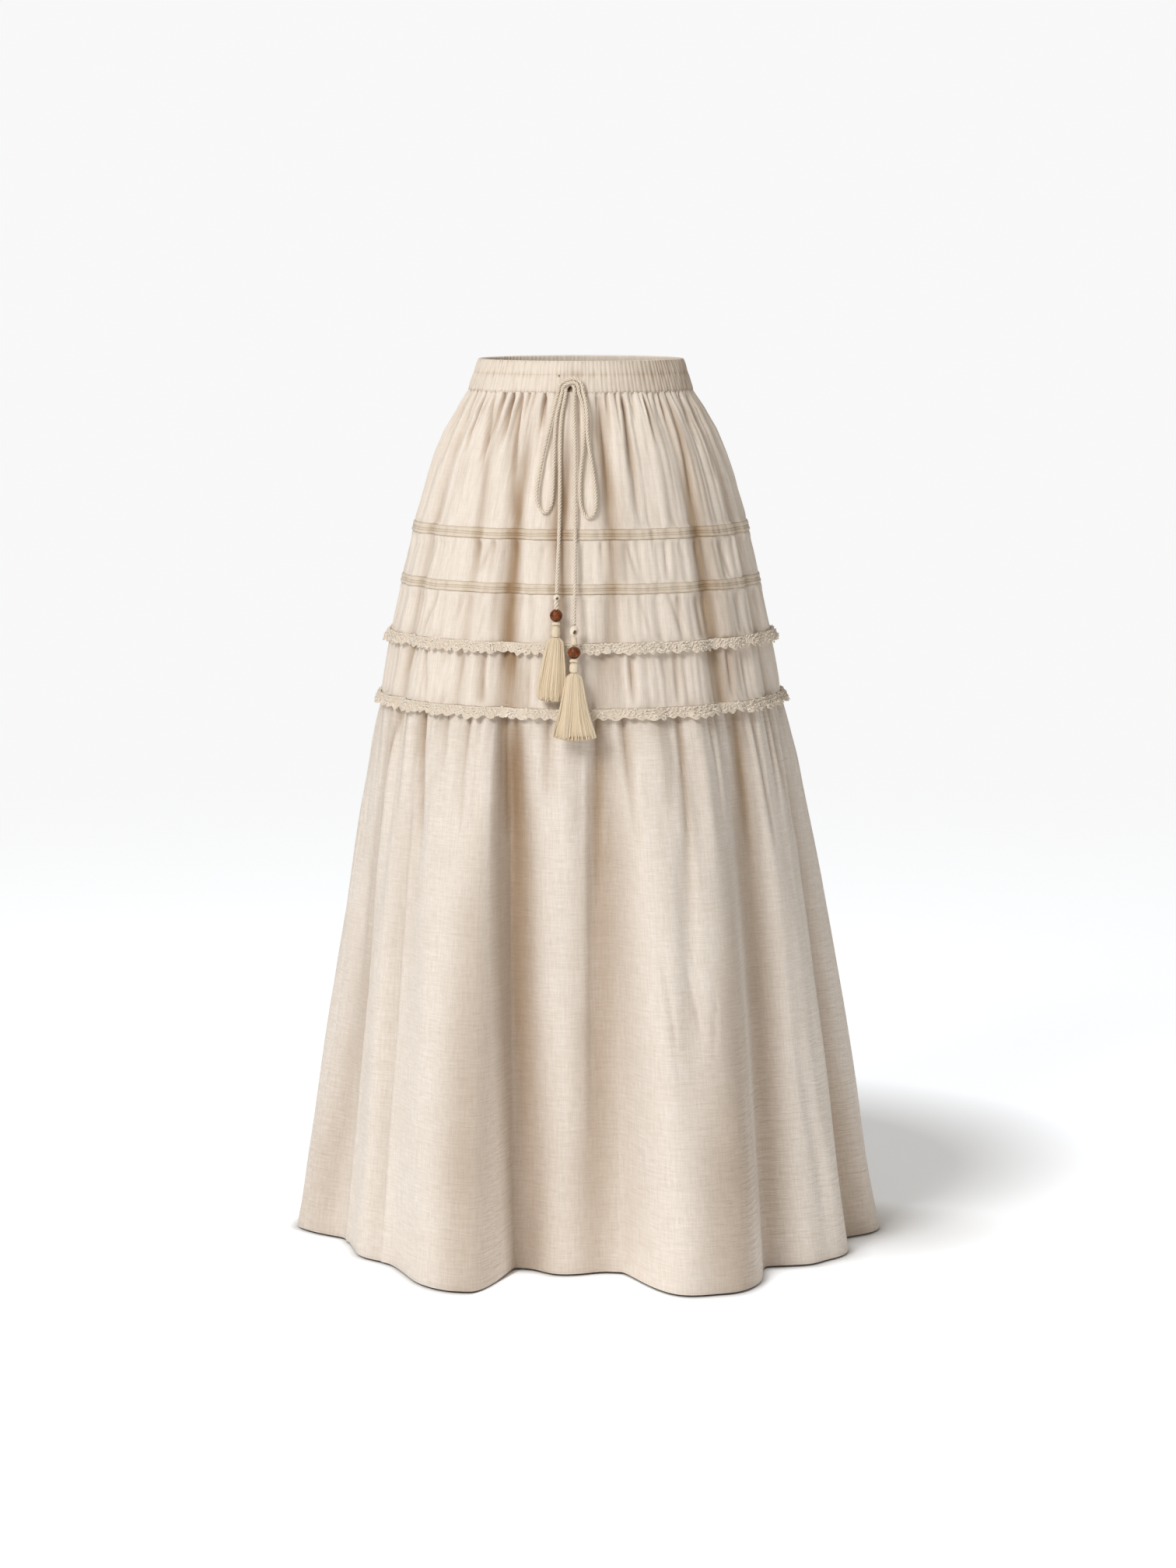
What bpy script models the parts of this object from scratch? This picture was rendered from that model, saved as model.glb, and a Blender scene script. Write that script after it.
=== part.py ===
"""Tiered maxi skirt with a gathered waistband, a bow drawstring and a long flounce.

The skirt hangs as it does when it is worn: a hollow body, open at the waist and at the hem. All
sizes are in millimetres and are turned to metres when a mesh is made. +Z is up, the front faces -Y,
and the origin is the centre of the waist at the middle of the waistband's height.

An angle round the skirt is 0 at the front centre, 90 at the right side seam (+X), 180 at the back
and -90 at the left side seam. It is the ellipse's own angle, so a point is (a sin, -b cos).
"""
import math
import random

import bmesh
import bpy
from mathutils import Matrix, Vector

MM = 0.001
COLLECTION = "maxi_skirt"

# ---------------------------------------------------------------- driving sizes
SEAM_GAP = 0.3            # space between two pieces at a seam
CLOTH = 1.3               # wall of the tiers and the flounce
CASING = 2.6              # wall of the elastic casing
BAND = 1.4                # wall of a tuck band under its cords
EDGING = 1.5              # wall of the crochet trim
LEFT_SEAM = -90.0
RIGHT_SEAM = 90.0

# Height of each cross seam, measured from the middle of the waistband.
WAIST_TOP = 16.5
CASING_SEAM = -19.0
TUCK_1_TOP = -163.3
TUCK_1_BOTTOM = -175.2
TUCK_2_TOP = -222.0
TUCK_2_BOTTOM = -233.3
TRIM_1_SEAM = -284.6
TRIM_2_SEAM = -354.6
TRIM_DROP = 12.6          # height of a crochet trim
HEM = -981.0

# Outline of the body above the flounce, over the crests of the gathers.
#   z, half width, half depth
OUTLINE = (
    (WAIST_TOP, 114.5, 92.0),
    (CASING_SEAM, 126.2, 101.5),
    (-37.0, 138.4, 112.0),
    (-63.0, 151.6, 124.0),
    (-89.0, 162.6, 135.0),
    (-115.0, 171.0, 144.0),
    (-141.0, 178.1, 151.0),
    (-169.5, 186.5, 158.0),
    (-228.0, 199.5, 171.0),
    (-291.0, 213.5, 184.5),
    (-360.0, 228.0, 198.0),
)

# Valleys that the cloth hangs in between its folds, from the hips down. They sink below the outline
# and run on into the flounce, where the large folds take over.
#   angle, half spread, depth
VALLEYS = (
    (-64.0, 7.0, 6.0),
    (-38.0, 6.0, 4.0),
    (-23.0, 7.0, 9.0),
    (10.0, 6.0, 3.5),
    (42.0, 8.0, 9.0),
    (70.0, 7.0, 6.0),
    (109.0, 8.0, 8.0),
    (138.0, 7.0, 9.0),
    (163.0, 7.0, 7.0),
    (189.0, 7.0, 7.0),
    (216.0, 8.0, 9.0),
    (244.0, 7.0, 6.0),
)
#   z, share of their depth that the valleys have there
VALLEY_GROWTH = ((CASING_SEAM, 0.0), (-60.0, 0.35), (-120.0, 0.75), (-200.0, 1.0))
VALLEY_FADE = 0.4         # share of the flounce's height that they reach down

# ---------------------------------------------------------------- waistband
RIBS = 36                 # gathers of the elastic casing
RIB_HEIGHT = 1.1
RIB_SEED = 10
RIB_STEPS = (0.0, 0.33, 0.67)
CASING_PUFF = 1.0
#   z, share of the puff that each channel has between its stitch lines
CASING_ROWS = ((WAIST_TOP, 0.0), (9.0, 1.0), (1.5, 0.0), (-9.0, 1.0), (CASING_SEAM, 0.0))

# ---------------------------------------------------------------- tiers
GATHER_STEPS = (0.0, 0.32, 0.68)
GATHER_ROUNDNESS = 1.2    # power of the sine that shapes a gather
DEEPEST = 0.22            # share of a tier's height, from its top, where its gathers are deepest
#   name, rows from top to bottom, gathers, seed, depth of the gathers at top, below top, bottom
TIERS = (
    ("tier_1", (CASING_SEAM, -30.0, -50.0, -85.0, -125.0, TUCK_1_TOP), 26, 11, (3.0, 8.0, 4.5)),
    ("tier_2", (TUCK_1_BOTTOM, -188.0, TUCK_2_TOP), 22, 12, (2.8, 4.8, 3.2)),
    ("tier_3", (TUCK_2_BOTTOM, -246.0, TRIM_1_SEAM), 22, 13, (2.8, 4.8, 3.2)),
    ("tier_4", (TRIM_1_SEAM, TRIM_1_SEAM - TRIM_DROP, TRIM_2_SEAM), 22, 14, (2.8, 5.0, 3.4)),
)

# ---------------------------------------------------------------- tuck bands
#   name, z at top, z at bottom, tier below it, whose columns it shares
TUCK_BANDS = (
    ("tuck_band_1", TUCK_1_TOP, TUCK_1_BOTTOM, "tier_2"),
    ("tuck_band_2", TUCK_2_TOP, TUCK_2_BOTTOM, "tier_3"),
)
TUCK_CORDS = 3
TUCK_HEIGHT = 1.0

# ---------------------------------------------------------------- flounce
FLOUNCE_ROWS = (
    TRIM_2_SEAM, TRIM_2_SEAM - TRIM_DROP, -400.0, -455.0, -525.0, -610.0, -705.0, -800.0, -895.0, HEM,
)
FLOUNCE_COLUMNS = 96
FLOUNCE_GATHERS = 22
FLOUNCE_SEED = 15
GATHER_DEPTH = 5.0        # at the flounce's top seam
GATHER_FADE = 0.45        # share of the flounce's height that the gathers reach down
HEM_HALF_WIDTH = 288.0
HEM_HALF_DEPTH = 196.0
HEM_SHIFT = 9.0           # the hem hangs a little to the right
FAN = 6.0                 # degrees that the folds draw in towards the front on their way down
FOLD_GROWTH = 0.8
ANGLE_SHARE = 0.3         # columns are spaced by hem length, and by angle for this share

# Large folds: angle of the crest, spread to its left and right in degrees, height at the hem, and
# how steep each flank is (1 is a soft wave, 2.5 hangs almost straight back).
#   crest, left, right, height, left steepness, right steepness
FOLDS = (
    (-100.0, 17.0, 24.0, 52.0, 1.2, 1.3),
    (-52.0, 19.0, 30.0, 26.0, 1.0, 1.0),
    (-25.3, 23.5, 8.3, 98.0, 1.0, 2.5),
    (-4.0, 9.0, 9.0, 9.0, 1.0, 1.0),
    (20.0, 13.0, 18.5, 108.0, 2.5, 1.3),
    (53.0, 25.0, 27.0, 42.0, 1.3, 1.5),
    (97.0, 26.0, 14.0, 48.0, 1.3, 1.6),
    (124.0, 14.0, 13.0, 62.0, 1.6, 1.8),
    (150.0, 14.0, 12.0, 92.0, 1.4, 2.2),
    (176.0, 12.0, 11.0, 66.0, 1.8, 1.5),
    (201.0, 12.0, 15.0, 98.0, 2.2, 1.3),
    (230.0, 14.0, 13.0, 58.0, 1.6, 1.6),
)

# ---------------------------------------------------------------- crochet trim
TRIM_ROOT = 0.5           # space to the cloth at the trim's seam
TRIM_FLARE = 4.6          # space to the cloth at the trim's free edge
TRIM_WAVE = 1.2           # height of its ruffle at the free edge
TRIM_PERIOD = 4           # columns of the cloth that one ruffle takes

# ---------------------------------------------------------------- drawstring
CORD_DIAMETER = 4.0
CORD_LIFT = 2.6           # from the skirt's outline to the axis of a cord that lies on it
KNOT_CENTRE = (-10.6, -8.0)
KNOT_HALF = (15.0, 4.5, 8.0)
KNOT_LIFT = 4.7

# Routes on the front of the skirt, chosen point by point: x, z, lift off the outline.
LOOP_LEFT = (
    (-24.2, -14.2, 5.2), (-25.8, -21.0, 5.2), (-28.4, -31.0, 4.6), (-31.8, -45.0, 3.6),
    (-37.4, -68.0, CORD_LIFT), (-43.9, -98.0, CORD_LIFT), (-47.7, -122.0, CORD_LIFT),
    (-47.0, -135.5, CORD_LIFT), (-43.6, -142.6, CORD_LIFT), (-39.3, -144.8, CORD_LIFT),
    (-35.2, -142.4, CORD_LIFT), (-31.7, -135.0, CORD_LIFT), (-30.2, -120.0, CORD_LIFT),
    (-29.2, -92.0, CORD_LIFT), (-28.2, -62.0, CORD_LIFT), (-26.2, -42.0, CORD_LIFT),
    (-22.6, -27.0, 3.8), (-20.4, -16.6, 4.8),
)
LOOP_RIGHT = (
    (-2.4, -17.3, 4.8), (0.6, -25.0, 3.8), (3.2, -35.0, CORD_LIFT), (4.2, -50.0, CORD_LIFT),
    (2.6, -76.0, CORD_LIFT), (-0.4, -106.0, CORD_LIFT), (-0.8, -128.0, CORD_LIFT),
    (1.0, -141.0, CORD_LIFT), (4.6, -148.0, CORD_LIFT), (9.0, -150.2, CORD_LIFT),
    (13.4, -147.6, CORD_LIFT), (16.4, -139.0, CORD_LIFT), (16.2, -122.0, CORD_LIFT),
    (12.6, -96.0, CORD_LIFT), (8.8, -74.0, 3.8), (7.2, -58.0, 6.0), (7.0, -42.0, 7.6),
    (5.4, -27.0, 7.6), (2.2, -15.2, 6.0),
)
END_LEFT = (
    (-16.2, -17.4, 4.8), (-17.8, -26.0, 4.4), (-20.4, -39.0, CORD_LIFT), (-22.0, -56.0, CORD_LIFT),
    (-22.5, -84.0, CORD_LIFT), (-22.6, -112.0, CORD_LIFT), (-22.8, -140.0, CORD_LIFT),
    (-23.4, -168.0, CORD_LIFT), (-24.4, -194.0, 5.0), (-25.2, -215.0, 9.0), (-25.8, -230.9, 12.8),
)
END_RIGHT = (
    (-6.8, -17.6, 4.8), (-7.5, -27.0, 4.2), (-7.2, -42.0, CORD_LIFT), (-6.3, -66.0, CORD_LIFT),
    (-5.9, -98.0, CORD_LIFT), (-5.9, -130.0, CORD_LIFT), (-5.9, -160.0, CORD_LIFT),
    (-5.9, -190.0, 4.4), (-6.1, -220.0, 8.2), (-6.6, -246.0, 12.2), (-6.9, -263.8, 15.2),
)
#   node, route, points on the finished tube
CORDS = (
    ("bow_loop_left", LOOP_LEFT, 23),
    ("bow_loop_right", LOOP_RIGHT, 24),
    ("drawstring_end_left", END_LEFT, 16),
    ("drawstring_end_right", END_RIGHT, 17),
)

# The pieces on each free end hang on one straight line: its top and its direction.
#   side, top x y z, bottom x y z
HANG_LINES = {
    "left": ((-25.9, -184.2, -231.3), (-28.5, -203.4, -346.8)),
    "right": ((-7.0, -194.8, -264.2), (-7.2, -220.7, -386.6)),
}
#   piece, finish, height, radius, rounding of a drum's rims, or ROUND for a ball
ROUND = None
END_PIECES = {
    "left": (
        ("end_knot_left", "cotton", 7.2, 3.6, ROUND),
        ("drawstring_tip_left", "cotton", 8.3, 2.6, 0.0),
        ("wood_bead_left", "dark_wood", 13.8, 6.9, ROUND),
        ("disc_left", "pale_wood", 2.4, 4.6, 0.8),
        ("cream_bead_left", "pale_wood", 11.6, 4.6, 1.6),
    ),
    "right": (
        ("end_knot_right", "cotton", 11.8, 4.7, ROUND),
        ("barrel_bead_right", "pale_wood", 10.2, 3.3, 1.4),
        ("wood_bead_right", "dark_wood", 13.6, 6.8, ROUND),
        ("disc_right", "pale_wood", 3.6, 4.9, 0.9),
        ("cream_bead_right", "pale_wood", 11.4, 5.0, 2.6),
    ),
}

# ---------------------------------------------------------------- tassels
TASSEL_GRID = (9, 3)      # strands across and deep
TASSEL_HEAD = 18.0
#   height below the head's top as a share of TASSEL_HEAD, width as a share of the foot's
TASSEL_LEVELS = ((0.55, 1.04), (0.15, 0.8), (0.0, 0.45))
TASSEL_DEPTH = 7.2
TASSEL_SWELL = 1.2        # depth at the tips, as a share of the depth at the roots
MIDDLE_DROP = 0.05        # share of the length by which the middle strands hang lower
#   side: width at the head's foot, width at the tips, lean of the tips to the right
TASSELS = {
    "left": (17.0, 29.0, -3.5),
    "right": (17.0, 44.0, 0.5),
}
STRAND_SHARE = 0.72       # of its cell of the grid that a strand fills
STRAND_TIP = 0.8          # width of a strand's tip, as a share of its root

# ---------------------------------------------------------------- colours, linear
LINEN = (0.80, 0.70, 0.57)
TUCK_CLOTH = (0.78, 0.68, 0.55)
CROCHET = (0.82, 0.73, 0.60)
CORD_COTTON = (0.84, 0.76, 0.62)
DARK_WOOD = (0.16, 0.06, 0.025)
PALE_BEAD = (0.83, 0.78, 0.68)
END_FINISHES = {
    "cotton": (CORD_COTTON, 0.8),
    "dark_wood": (DARK_WOOD, 0.3),
    "pale_wood": (PALE_BEAD, 0.6),
}


# ---------------------------------------------------------------- small helpers
def between(value, xs, ys):
    """Read a falling or rising table with straight lines between its rows."""
    if xs[0] > xs[-1]:
        xs = xs[::-1]
        ys = ys[::-1]
    if value <= xs[0]:
        return ys[0]
    for low, high, y_low, y_high in zip(xs, xs[1:], ys, ys[1:]):
        if value <= high:
            return y_low + (y_high - y_low) * (value - low) / (high - low)
    return ys[-1]


def outline_at(z):
    """Half width and half depth of the body's outline at a height."""
    heights = [row[0] for row in OUTLINE]
    half_width = between(z, heights, [row[1] for row in OUTLINE])
    half_depth = between(z, heights, [row[2] for row in OUTLINE])
    return half_width, half_depth


def valley_depth(angle, z):
    """How far the cloth sinks between its folds at one angle and height."""
    depth = 0.0
    for middle, spread, deep in VALLEYS:
        away = abs((angle - middle + 180.0) % 360.0 - 180.0)
        if away < spread:
            depth += deep * math.cos(0.5 * math.pi * away / spread) ** 2
    heights = [row[0] for row in VALLEY_GROWTH]
    shares = [row[1] for row in VALLEY_GROWTH]
    return depth * between(z, heights, shares)


def ellipse_point(angle, half_width, half_depth, offset, z, shift=0.0):
    """Point of an ellipse at one angle, moved out along the ellipse's normal."""
    turn = math.radians(angle)
    normal = Vector((math.sin(turn) / half_width, -math.cos(turn) / half_depth)).normalized()
    x = shift + half_width * math.sin(turn) + normal.x * offset
    y = -half_depth * math.cos(turn) + normal.y * offset
    return Vector((x, y, z))


def gather_table(count, seed):
    """Uneven gathers for both halves of a ring: start angle, end angle and share of full height."""
    rng = random.Random(seed)
    table = []
    for start in (LEFT_SEAM, RIGHT_SEAM):
        widths = [rng.uniform(0.7, 1.3) for _ in range(count // 2)]
        scale = 180.0 / sum(widths)
        angle = start
        for width in widths:
            table.append((angle, angle + width * scale, rng.uniform(0.65, 1.0)))
            angle += width * scale
    return table


def gather_wave(angle, table):
    """Height of the gathers at one angle, from 0 in a valley to 1 on the highest crest."""
    for start, end, share in table:
        if start <= angle <= end:
            rise = max(0.0, math.sin(math.pi * (angle - start) / (end - start)))
            return share * rise ** GATHER_ROUNDNESS
    return 0.0


def columns_of(table, steps):
    """Angles of a wall's columns: each gather has the same steps from its start to its end."""
    return [start + (end - start) * step for start, end, _ in table for step in steps]


# ---------------------------------------------------------------- walls of cloth
def inner_ring(ring, thickness):
    """The same closed ring, moved inwards in plan by the wall's thickness."""
    count = len(ring)
    inner = []
    for j, point in enumerate(ring):
        along = ring[(j + 1) % count] - ring[j - 1]
        outward = Vector((along.y, -along.x, 0.0)).normalized()
        inner.append(point - outward * thickness)
    return inner


def wall_bmesh(outer, inner, closed):
    """Close a wall round the loop of its section: down its outer rows, then up its inner rows.

    Both faces of the wall have their diagonals in the same direction, so that they never cross.
    """
    section = outer + inner[::-1]
    down_edges = len(outer) - 1
    columns = len(outer[0])
    bm = bmesh.new()
    verts = [[bm.verts.new(point * MM) for point in row] for row in section]
    last = columns if closed else columns - 1
    for k, row in enumerate(verts):
        following = verts[(k + 1) % len(verts)]
        for j in range(last):
            right = (j + 1) % columns
            corners = (row[j], following[j], following[right], row[right])
            if k < down_edges:
                bm.faces.new((corners[0], corners[1], corners[2]))
                bm.faces.new((corners[0], corners[2], corners[3]))
            else:
                bm.faces.new((corners[0], corners[1], corners[3]))
                bm.faces.new((corners[1], corners[2], corners[3]))
    if not closed:
        rows = len(outer)
        for k in range(rows - 1):
            mirror = len(section) - 1 - k
            for j, flip in ((0, False), (columns - 1, True)):
                face = (verts[k][j], verts[mirror][j], verts[mirror - 1][j], verts[k + 1][j])
                bm.faces.new(face[::-1] if flip else face)
    return bm


def moved(rows, shift_y):
    """Rows of points, moved along Y."""
    return [[point + Vector((0.0, shift_y, 0.0)) for point in row] for row in rows]


def halves(rows, seam_column):
    """Front and back parts of closed rings that start at the left seam."""
    front = [row[:seam_column + 1] for row in rows]
    back = [row[seam_column:] + row[:1] for row in rows]
    return front, back


def seam_rows(rows):
    """Heights of a panel's rows, with half of the seam gap left at each cross seam."""
    heights = list(rows)
    heights[0] -= SEAM_GAP / 2
    if rows[-1] != HEM:
        heights[-1] += SEAM_GAP / 2
    return heights


# ---------------------------------------------------------------- objects
def add_object(name, bm, material):
    """Turn a bmesh into an object of the skirt's collection."""
    mesh = bpy.data.meshes.new(name)
    bm.to_mesh(mesh)
    bm.free()
    mesh.shade_smooth()
    mesh.set_sharp_from_angle(angle=math.radians(50.0))
    mesh.materials.append(material)
    obj = bpy.data.objects.new(name, mesh)
    bpy.data.collections[COLLECTION].objects.link(obj)
    return obj


def plain_material(name, color, roughness):
    """A Principled material for one part."""
    material = bpy.data.materials.new(name)
    material.use_nodes = True
    shader = material.node_tree.nodes["Principled BSDF"]
    shader.inputs["Base Color"].default_value = (*color, 1.0)
    shader.inputs["Roughness"].default_value = roughness
    shader.inputs["Metallic"].default_value = 0.0
    return material


def add_halves(name, outer, inner, seam_column, color):
    """Front and back panels, parted at the side seams."""
    for part, shift, index in (("front", -SEAM_GAP / 2, 0), ("back", SEAM_GAP / 2, 1)):
        outer_rows = moved(halves(outer, seam_column)[index], shift)
        inner_rows = moved(halves(inner, seam_column)[index], shift)
        node = f"{name}_{part}"
        material = plain_material(f"{node}_linen", color, 0.85)
        add_object(node, wall_bmesh(outer_rows, inner_rows, closed=False), material)


# ---------------------------------------------------------------- waistband
def make_waistband():
    """Elastic casing: ribs and two puffed channels on the outside, a plain inside."""
    ribs = gather_table(RIBS, RIB_SEED)
    angles = columns_of(ribs, RIB_STEPS)
    heights = [z for z, _ in CASING_ROWS]
    heights[-1] += SEAM_GAP / 2
    outer = []
    for z, (_, puff) in zip(heights, CASING_ROWS):
        half_width, half_depth = outline_at(z)
        ring = []
        for angle in angles:
            sunk = CASING_PUFF * (1.0 - puff) + RIB_HEIGHT * (1.0 - gather_wave(angle, ribs))
            ring.append(ellipse_point(angle, half_width, half_depth, -sunk, z))
        outer.append(ring)
    inner = []
    for z in (heights[0], heights[-1]):
        half_width, half_depth = outline_at(z)
        depth = -RIB_HEIGHT - CASING
        inner.append([ellipse_point(angle, half_width, half_depth, depth, z) for angle in angles])
    material = plain_material("waistband_linen", LINEN, 0.85)
    add_object("waistband", wall_bmesh(outer, inner, closed=True), material)


# ---------------------------------------------------------------- tiers and tuck bands
def tier_rings(heights, table, depths, angles):
    """Outer rings of a gathered tier. The gathers are deepest a little below the tier's top."""
    top = heights[0]
    bottom = heights[-1]
    rings = []
    for z in heights:
        down = (top - z) / (top - bottom)
        depth = between(down, (0.0, DEEPEST, 1.0), depths)
        half_width, half_depth = outline_at(z)
        ring = []
        for angle in angles:
            sunk = depth * (1.0 - gather_wave(angle, table)) + valley_depth(angle, z)
            ring.append(ellipse_point(angle, half_width, half_depth, -sunk, z))
        rings.append(ring)
    return rings


def make_tiers():
    """The four gathered tiers, each with a front and a back. Returns their rings and columns."""
    rings = {}
    columns = {}
    for name, rows, count, seed, depths in TIERS:
        table = gather_table(count, seed)
        angles = columns_of(table, GATHER_STEPS)
        outer = tier_rings(seam_rows(rows), table, depths, angles)
        inner = [inner_ring(ring, CLOTH) for ring in outer]
        add_halves(name, outer, inner, len(angles) // 2, LINEN)
        rings[name] = outer
        columns[name] = angles
    return rings, columns


def band_ring(angles, z, sunk):
    """A ring of a tuck band, which hangs in the same valleys as the tiers."""
    half_width, half_depth = outline_at(z)
    ring = []
    for angle in angles:
        offset = -sunk - valley_depth(angle, z)
        ring.append(ellipse_point(angle, half_width, half_depth, offset, z))
    return ring


def make_tuck_band(name, top, bottom, angles):
    """A narrow insertion whose outer face carries three cords between two sunk lines."""
    high = top - SEAM_GAP / 2
    low = bottom + SEAM_GAP / 2
    steps = 2 * TUCK_CORDS
    outer = []
    for k in range(steps + 1):
        z = high + (low - high) * k / steps
        sunk = 0.0 if k % 2 else TUCK_HEIGHT
        outer.append(band_ring(angles, z, sunk))
    inner = [band_ring(angles, z, TUCK_HEIGHT + BAND) for z in (high, low)]
    material = plain_material(f"{name}_linen", TUCK_CLOTH, 0.85)
    add_object(name, wall_bmesh(outer, inner, closed=True), material)


# ---------------------------------------------------------------- flounce
def fold_height(angle):
    """Height at the hem of the large folds at one angle."""
    height = 0.0
    for crest, left, right, reach, steep_left, steep_right in FOLDS:
        away = (angle - crest + 180.0) % 360.0 - 180.0
        spread = right if away > 0 else left
        steep = steep_right if away > 0 else steep_left
        share = min(1.0, abs(away) / spread) ** steep
        height += reach * math.cos(0.5 * math.pi * share) ** 2
    return height


def flounce_point(angle, z, table):
    """A point of the flounce's outer face."""
    down = min(1.0, max(0.0, (TRIM_2_SEAM - z) / (TRIM_2_SEAM - HEM)))
    top_width, top_depth = outline_at(TRIM_2_SEAM)
    half_width = top_width + (HEM_HALF_WIDTH - top_width) * down
    half_depth = top_depth + (HEM_HALF_DEPTH - top_depth) * down
    fade = max(0.0, 1.0 - down / GATHER_FADE)
    sunk = GATHER_DEPTH * fade * (1.0 - gather_wave(angle, table))
    fanned = angle + FAN * (1.0 - down) * math.sin(math.radians(2.0 * angle))
    sunk += valley_depth(fanned, z) * max(0.0, 1.0 - down / VALLEY_FADE)
    offset = fold_height(angle) * down ** FOLD_GROWTH - sunk
    return ellipse_point(fanned, half_width, half_depth, offset, z, HEM_SHIFT * down)


def flounce_angles(table):
    """Angles of the flounce's columns, closer together where the hem is longer."""
    steps = 1440
    angles = []
    for start in (LEFT_SEAM, RIGHT_SEAM):
        fine = [start + 180.0 * k / steps for k in range(steps + 1)]
        hem = [flounce_point(angle, HEM, table) for angle in fine]
        length = [0.0]
        for one, other in zip(hem, hem[1:]):
            length.append(length[-1] + (other - one).length)
        station = []
        for k, reached in enumerate(length):
            by_length = reached / length[-1]
            station.append((1.0 - ANGLE_SHARE) * by_length + ANGLE_SHARE * k / steps)
        half = FLOUNCE_COLUMNS // 2
        angles += [between(j / half, station, fine) for j in range(half)]
    return angles


def make_flounce():
    """The long flounce, gathered at its top, with large folds that grow down to the hem."""
    table = gather_table(FLOUNCE_GATHERS, FLOUNCE_SEED)
    angles = flounce_angles(table)
    heights = seam_rows(FLOUNCE_ROWS)
    outer = [[flounce_point(angle, z, table) for angle in angles] for z in heights]
    inner = [inner_ring(ring, CLOTH) for ring in outer]
    add_halves("flounce", outer, inner, FLOUNCE_COLUMNS // 2, LINEN)
    return outer


# ---------------------------------------------------------------- crochet trims
def make_trim(name, cloth_top, cloth_below):
    """A crochet edging that flares off the seam, made from the cloth's own points moved out."""
    root = inner_ring(cloth_top, -TRIM_ROOT)
    free = []
    for j, (near, far) in enumerate(zip(inner_ring(cloth_below, 0.0), inner_ring(cloth_below, -1.0))):
        wave = TRIM_WAVE * math.sin(2.0 * math.pi * j / TRIM_PERIOD)
        free.append(near + (far - near) * (TRIM_FLARE + wave))
    inner = [root, free]
    outer = [inner_ring(ring, -EDGING) for ring in inner]
    material = plain_material(f"{name}_cotton", CROCHET, 0.9)
    add_object(name, wall_bmesh(outer, inner, closed=True), material)


# ---------------------------------------------------------------- drawstring
def on_front(x, z, lift):
    """A point that stands off the front of the skirt's outline."""
    half_width, half_depth = outline_at(z)
    depth = half_depth * math.sqrt(1.0 - (x / half_width) ** 2)
    return Vector((x, -depth - lift, z))


def smooth_route(points, count):
    """Points of a Catmull-Rom curve through a route."""
    ends = [points[0] * 2.0 - points[1]] + points + [points[-1] * 2.0 - points[-2]]
    spans = len(points) - 1
    route = []
    for k in range(count):
        place = spans * k / (count - 1)
        span = min(int(place), spans - 1)
        t = place - span
        a, b, c, d = ends[span:span + 4]
        route.append(
            0.5 * (2.0 * b + (c - a) * t + (2.0 * a - 5.0 * b + 4.0 * c - d) * t ** 2
                   + (3.0 * b - a - 3.0 * c + d) * t ** 3)
        )
    return route


def add_tube(name, points, diameter, material):
    """A round cord along points, with closed ends."""
    curve = bpy.data.curves.new(name, "CURVE")
    curve.dimensions = "3D"
    curve.bevel_depth = diameter / 2 * MM
    curve.bevel_resolution = 2
    curve.use_fill_caps = True
    spline = curve.splines.new("POLY")
    spline.points.add(len(points) - 1)
    for place, point in zip(spline.points, points):
        place.co = (*(point * MM), 1.0)
    curve.materials.append(material)
    obj = bpy.data.objects.new(name, curve)
    bpy.data.collections[COLLECTION].objects.link(obj)
    return obj


def make_cords():
    """The two bow loops and the two free ends, which lie on the front of the skirt."""
    for name, route, count in CORDS:
        points = [on_front(x, z, lift) for x, z, lift in route]
        material = plain_material(f"{name}_cotton", CORD_COTTON, 0.8)
        add_tube(name, smooth_route(points, count), CORD_DIAMETER, material)


def make_knot():
    """The tied bow's knot, on the lower half of the waistband."""
    bm = bmesh.new()
    bmesh.ops.create_uvsphere(bm, u_segments=12, v_segments=6, radius=MM)
    bmesh.ops.scale(bm, verts=bm.verts, vec=Vector(KNOT_HALF))
    centre = on_front(KNOT_CENTRE[0], KNOT_CENTRE[1], KNOT_LIFT)
    bmesh.ops.translate(bm, verts=bm.verts, vec=centre * MM)
    add_object("bow_knot", bm, plain_material("bow_knot_cotton", CORD_COTTON, 0.8))


# ---------------------------------------------------------------- beads on the free ends
def ball(height, radius):
    """A round bead, or one drawn out along its thread."""
    bm = bmesh.new()
    bmesh.ops.create_uvsphere(bm, u_segments=10, v_segments=6, radius=MM)
    bmesh.ops.scale(bm, verts=bm.verts, vec=Vector((radius, radius, height / 2)))
    return bm


def drum(height, radius, rounding):
    """A short cylinder with rounded rims."""
    bm = bmesh.new()
    bmesh.ops.create_cone(
        bm, cap_ends=True, segments=12, radius1=radius * MM, radius2=radius * MM, depth=height * MM,
    )
    rims = [edge for edge in bm.edges if abs(edge.verts[0].co.z - edge.verts[1].co.z) < 1e-7]
    if rounding:
        bmesh.ops.bevel(
            bm, geom=rims, offset=rounding * MM, segments=1, profile=0.5, affect="EDGES",
        )
    return bm


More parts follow.
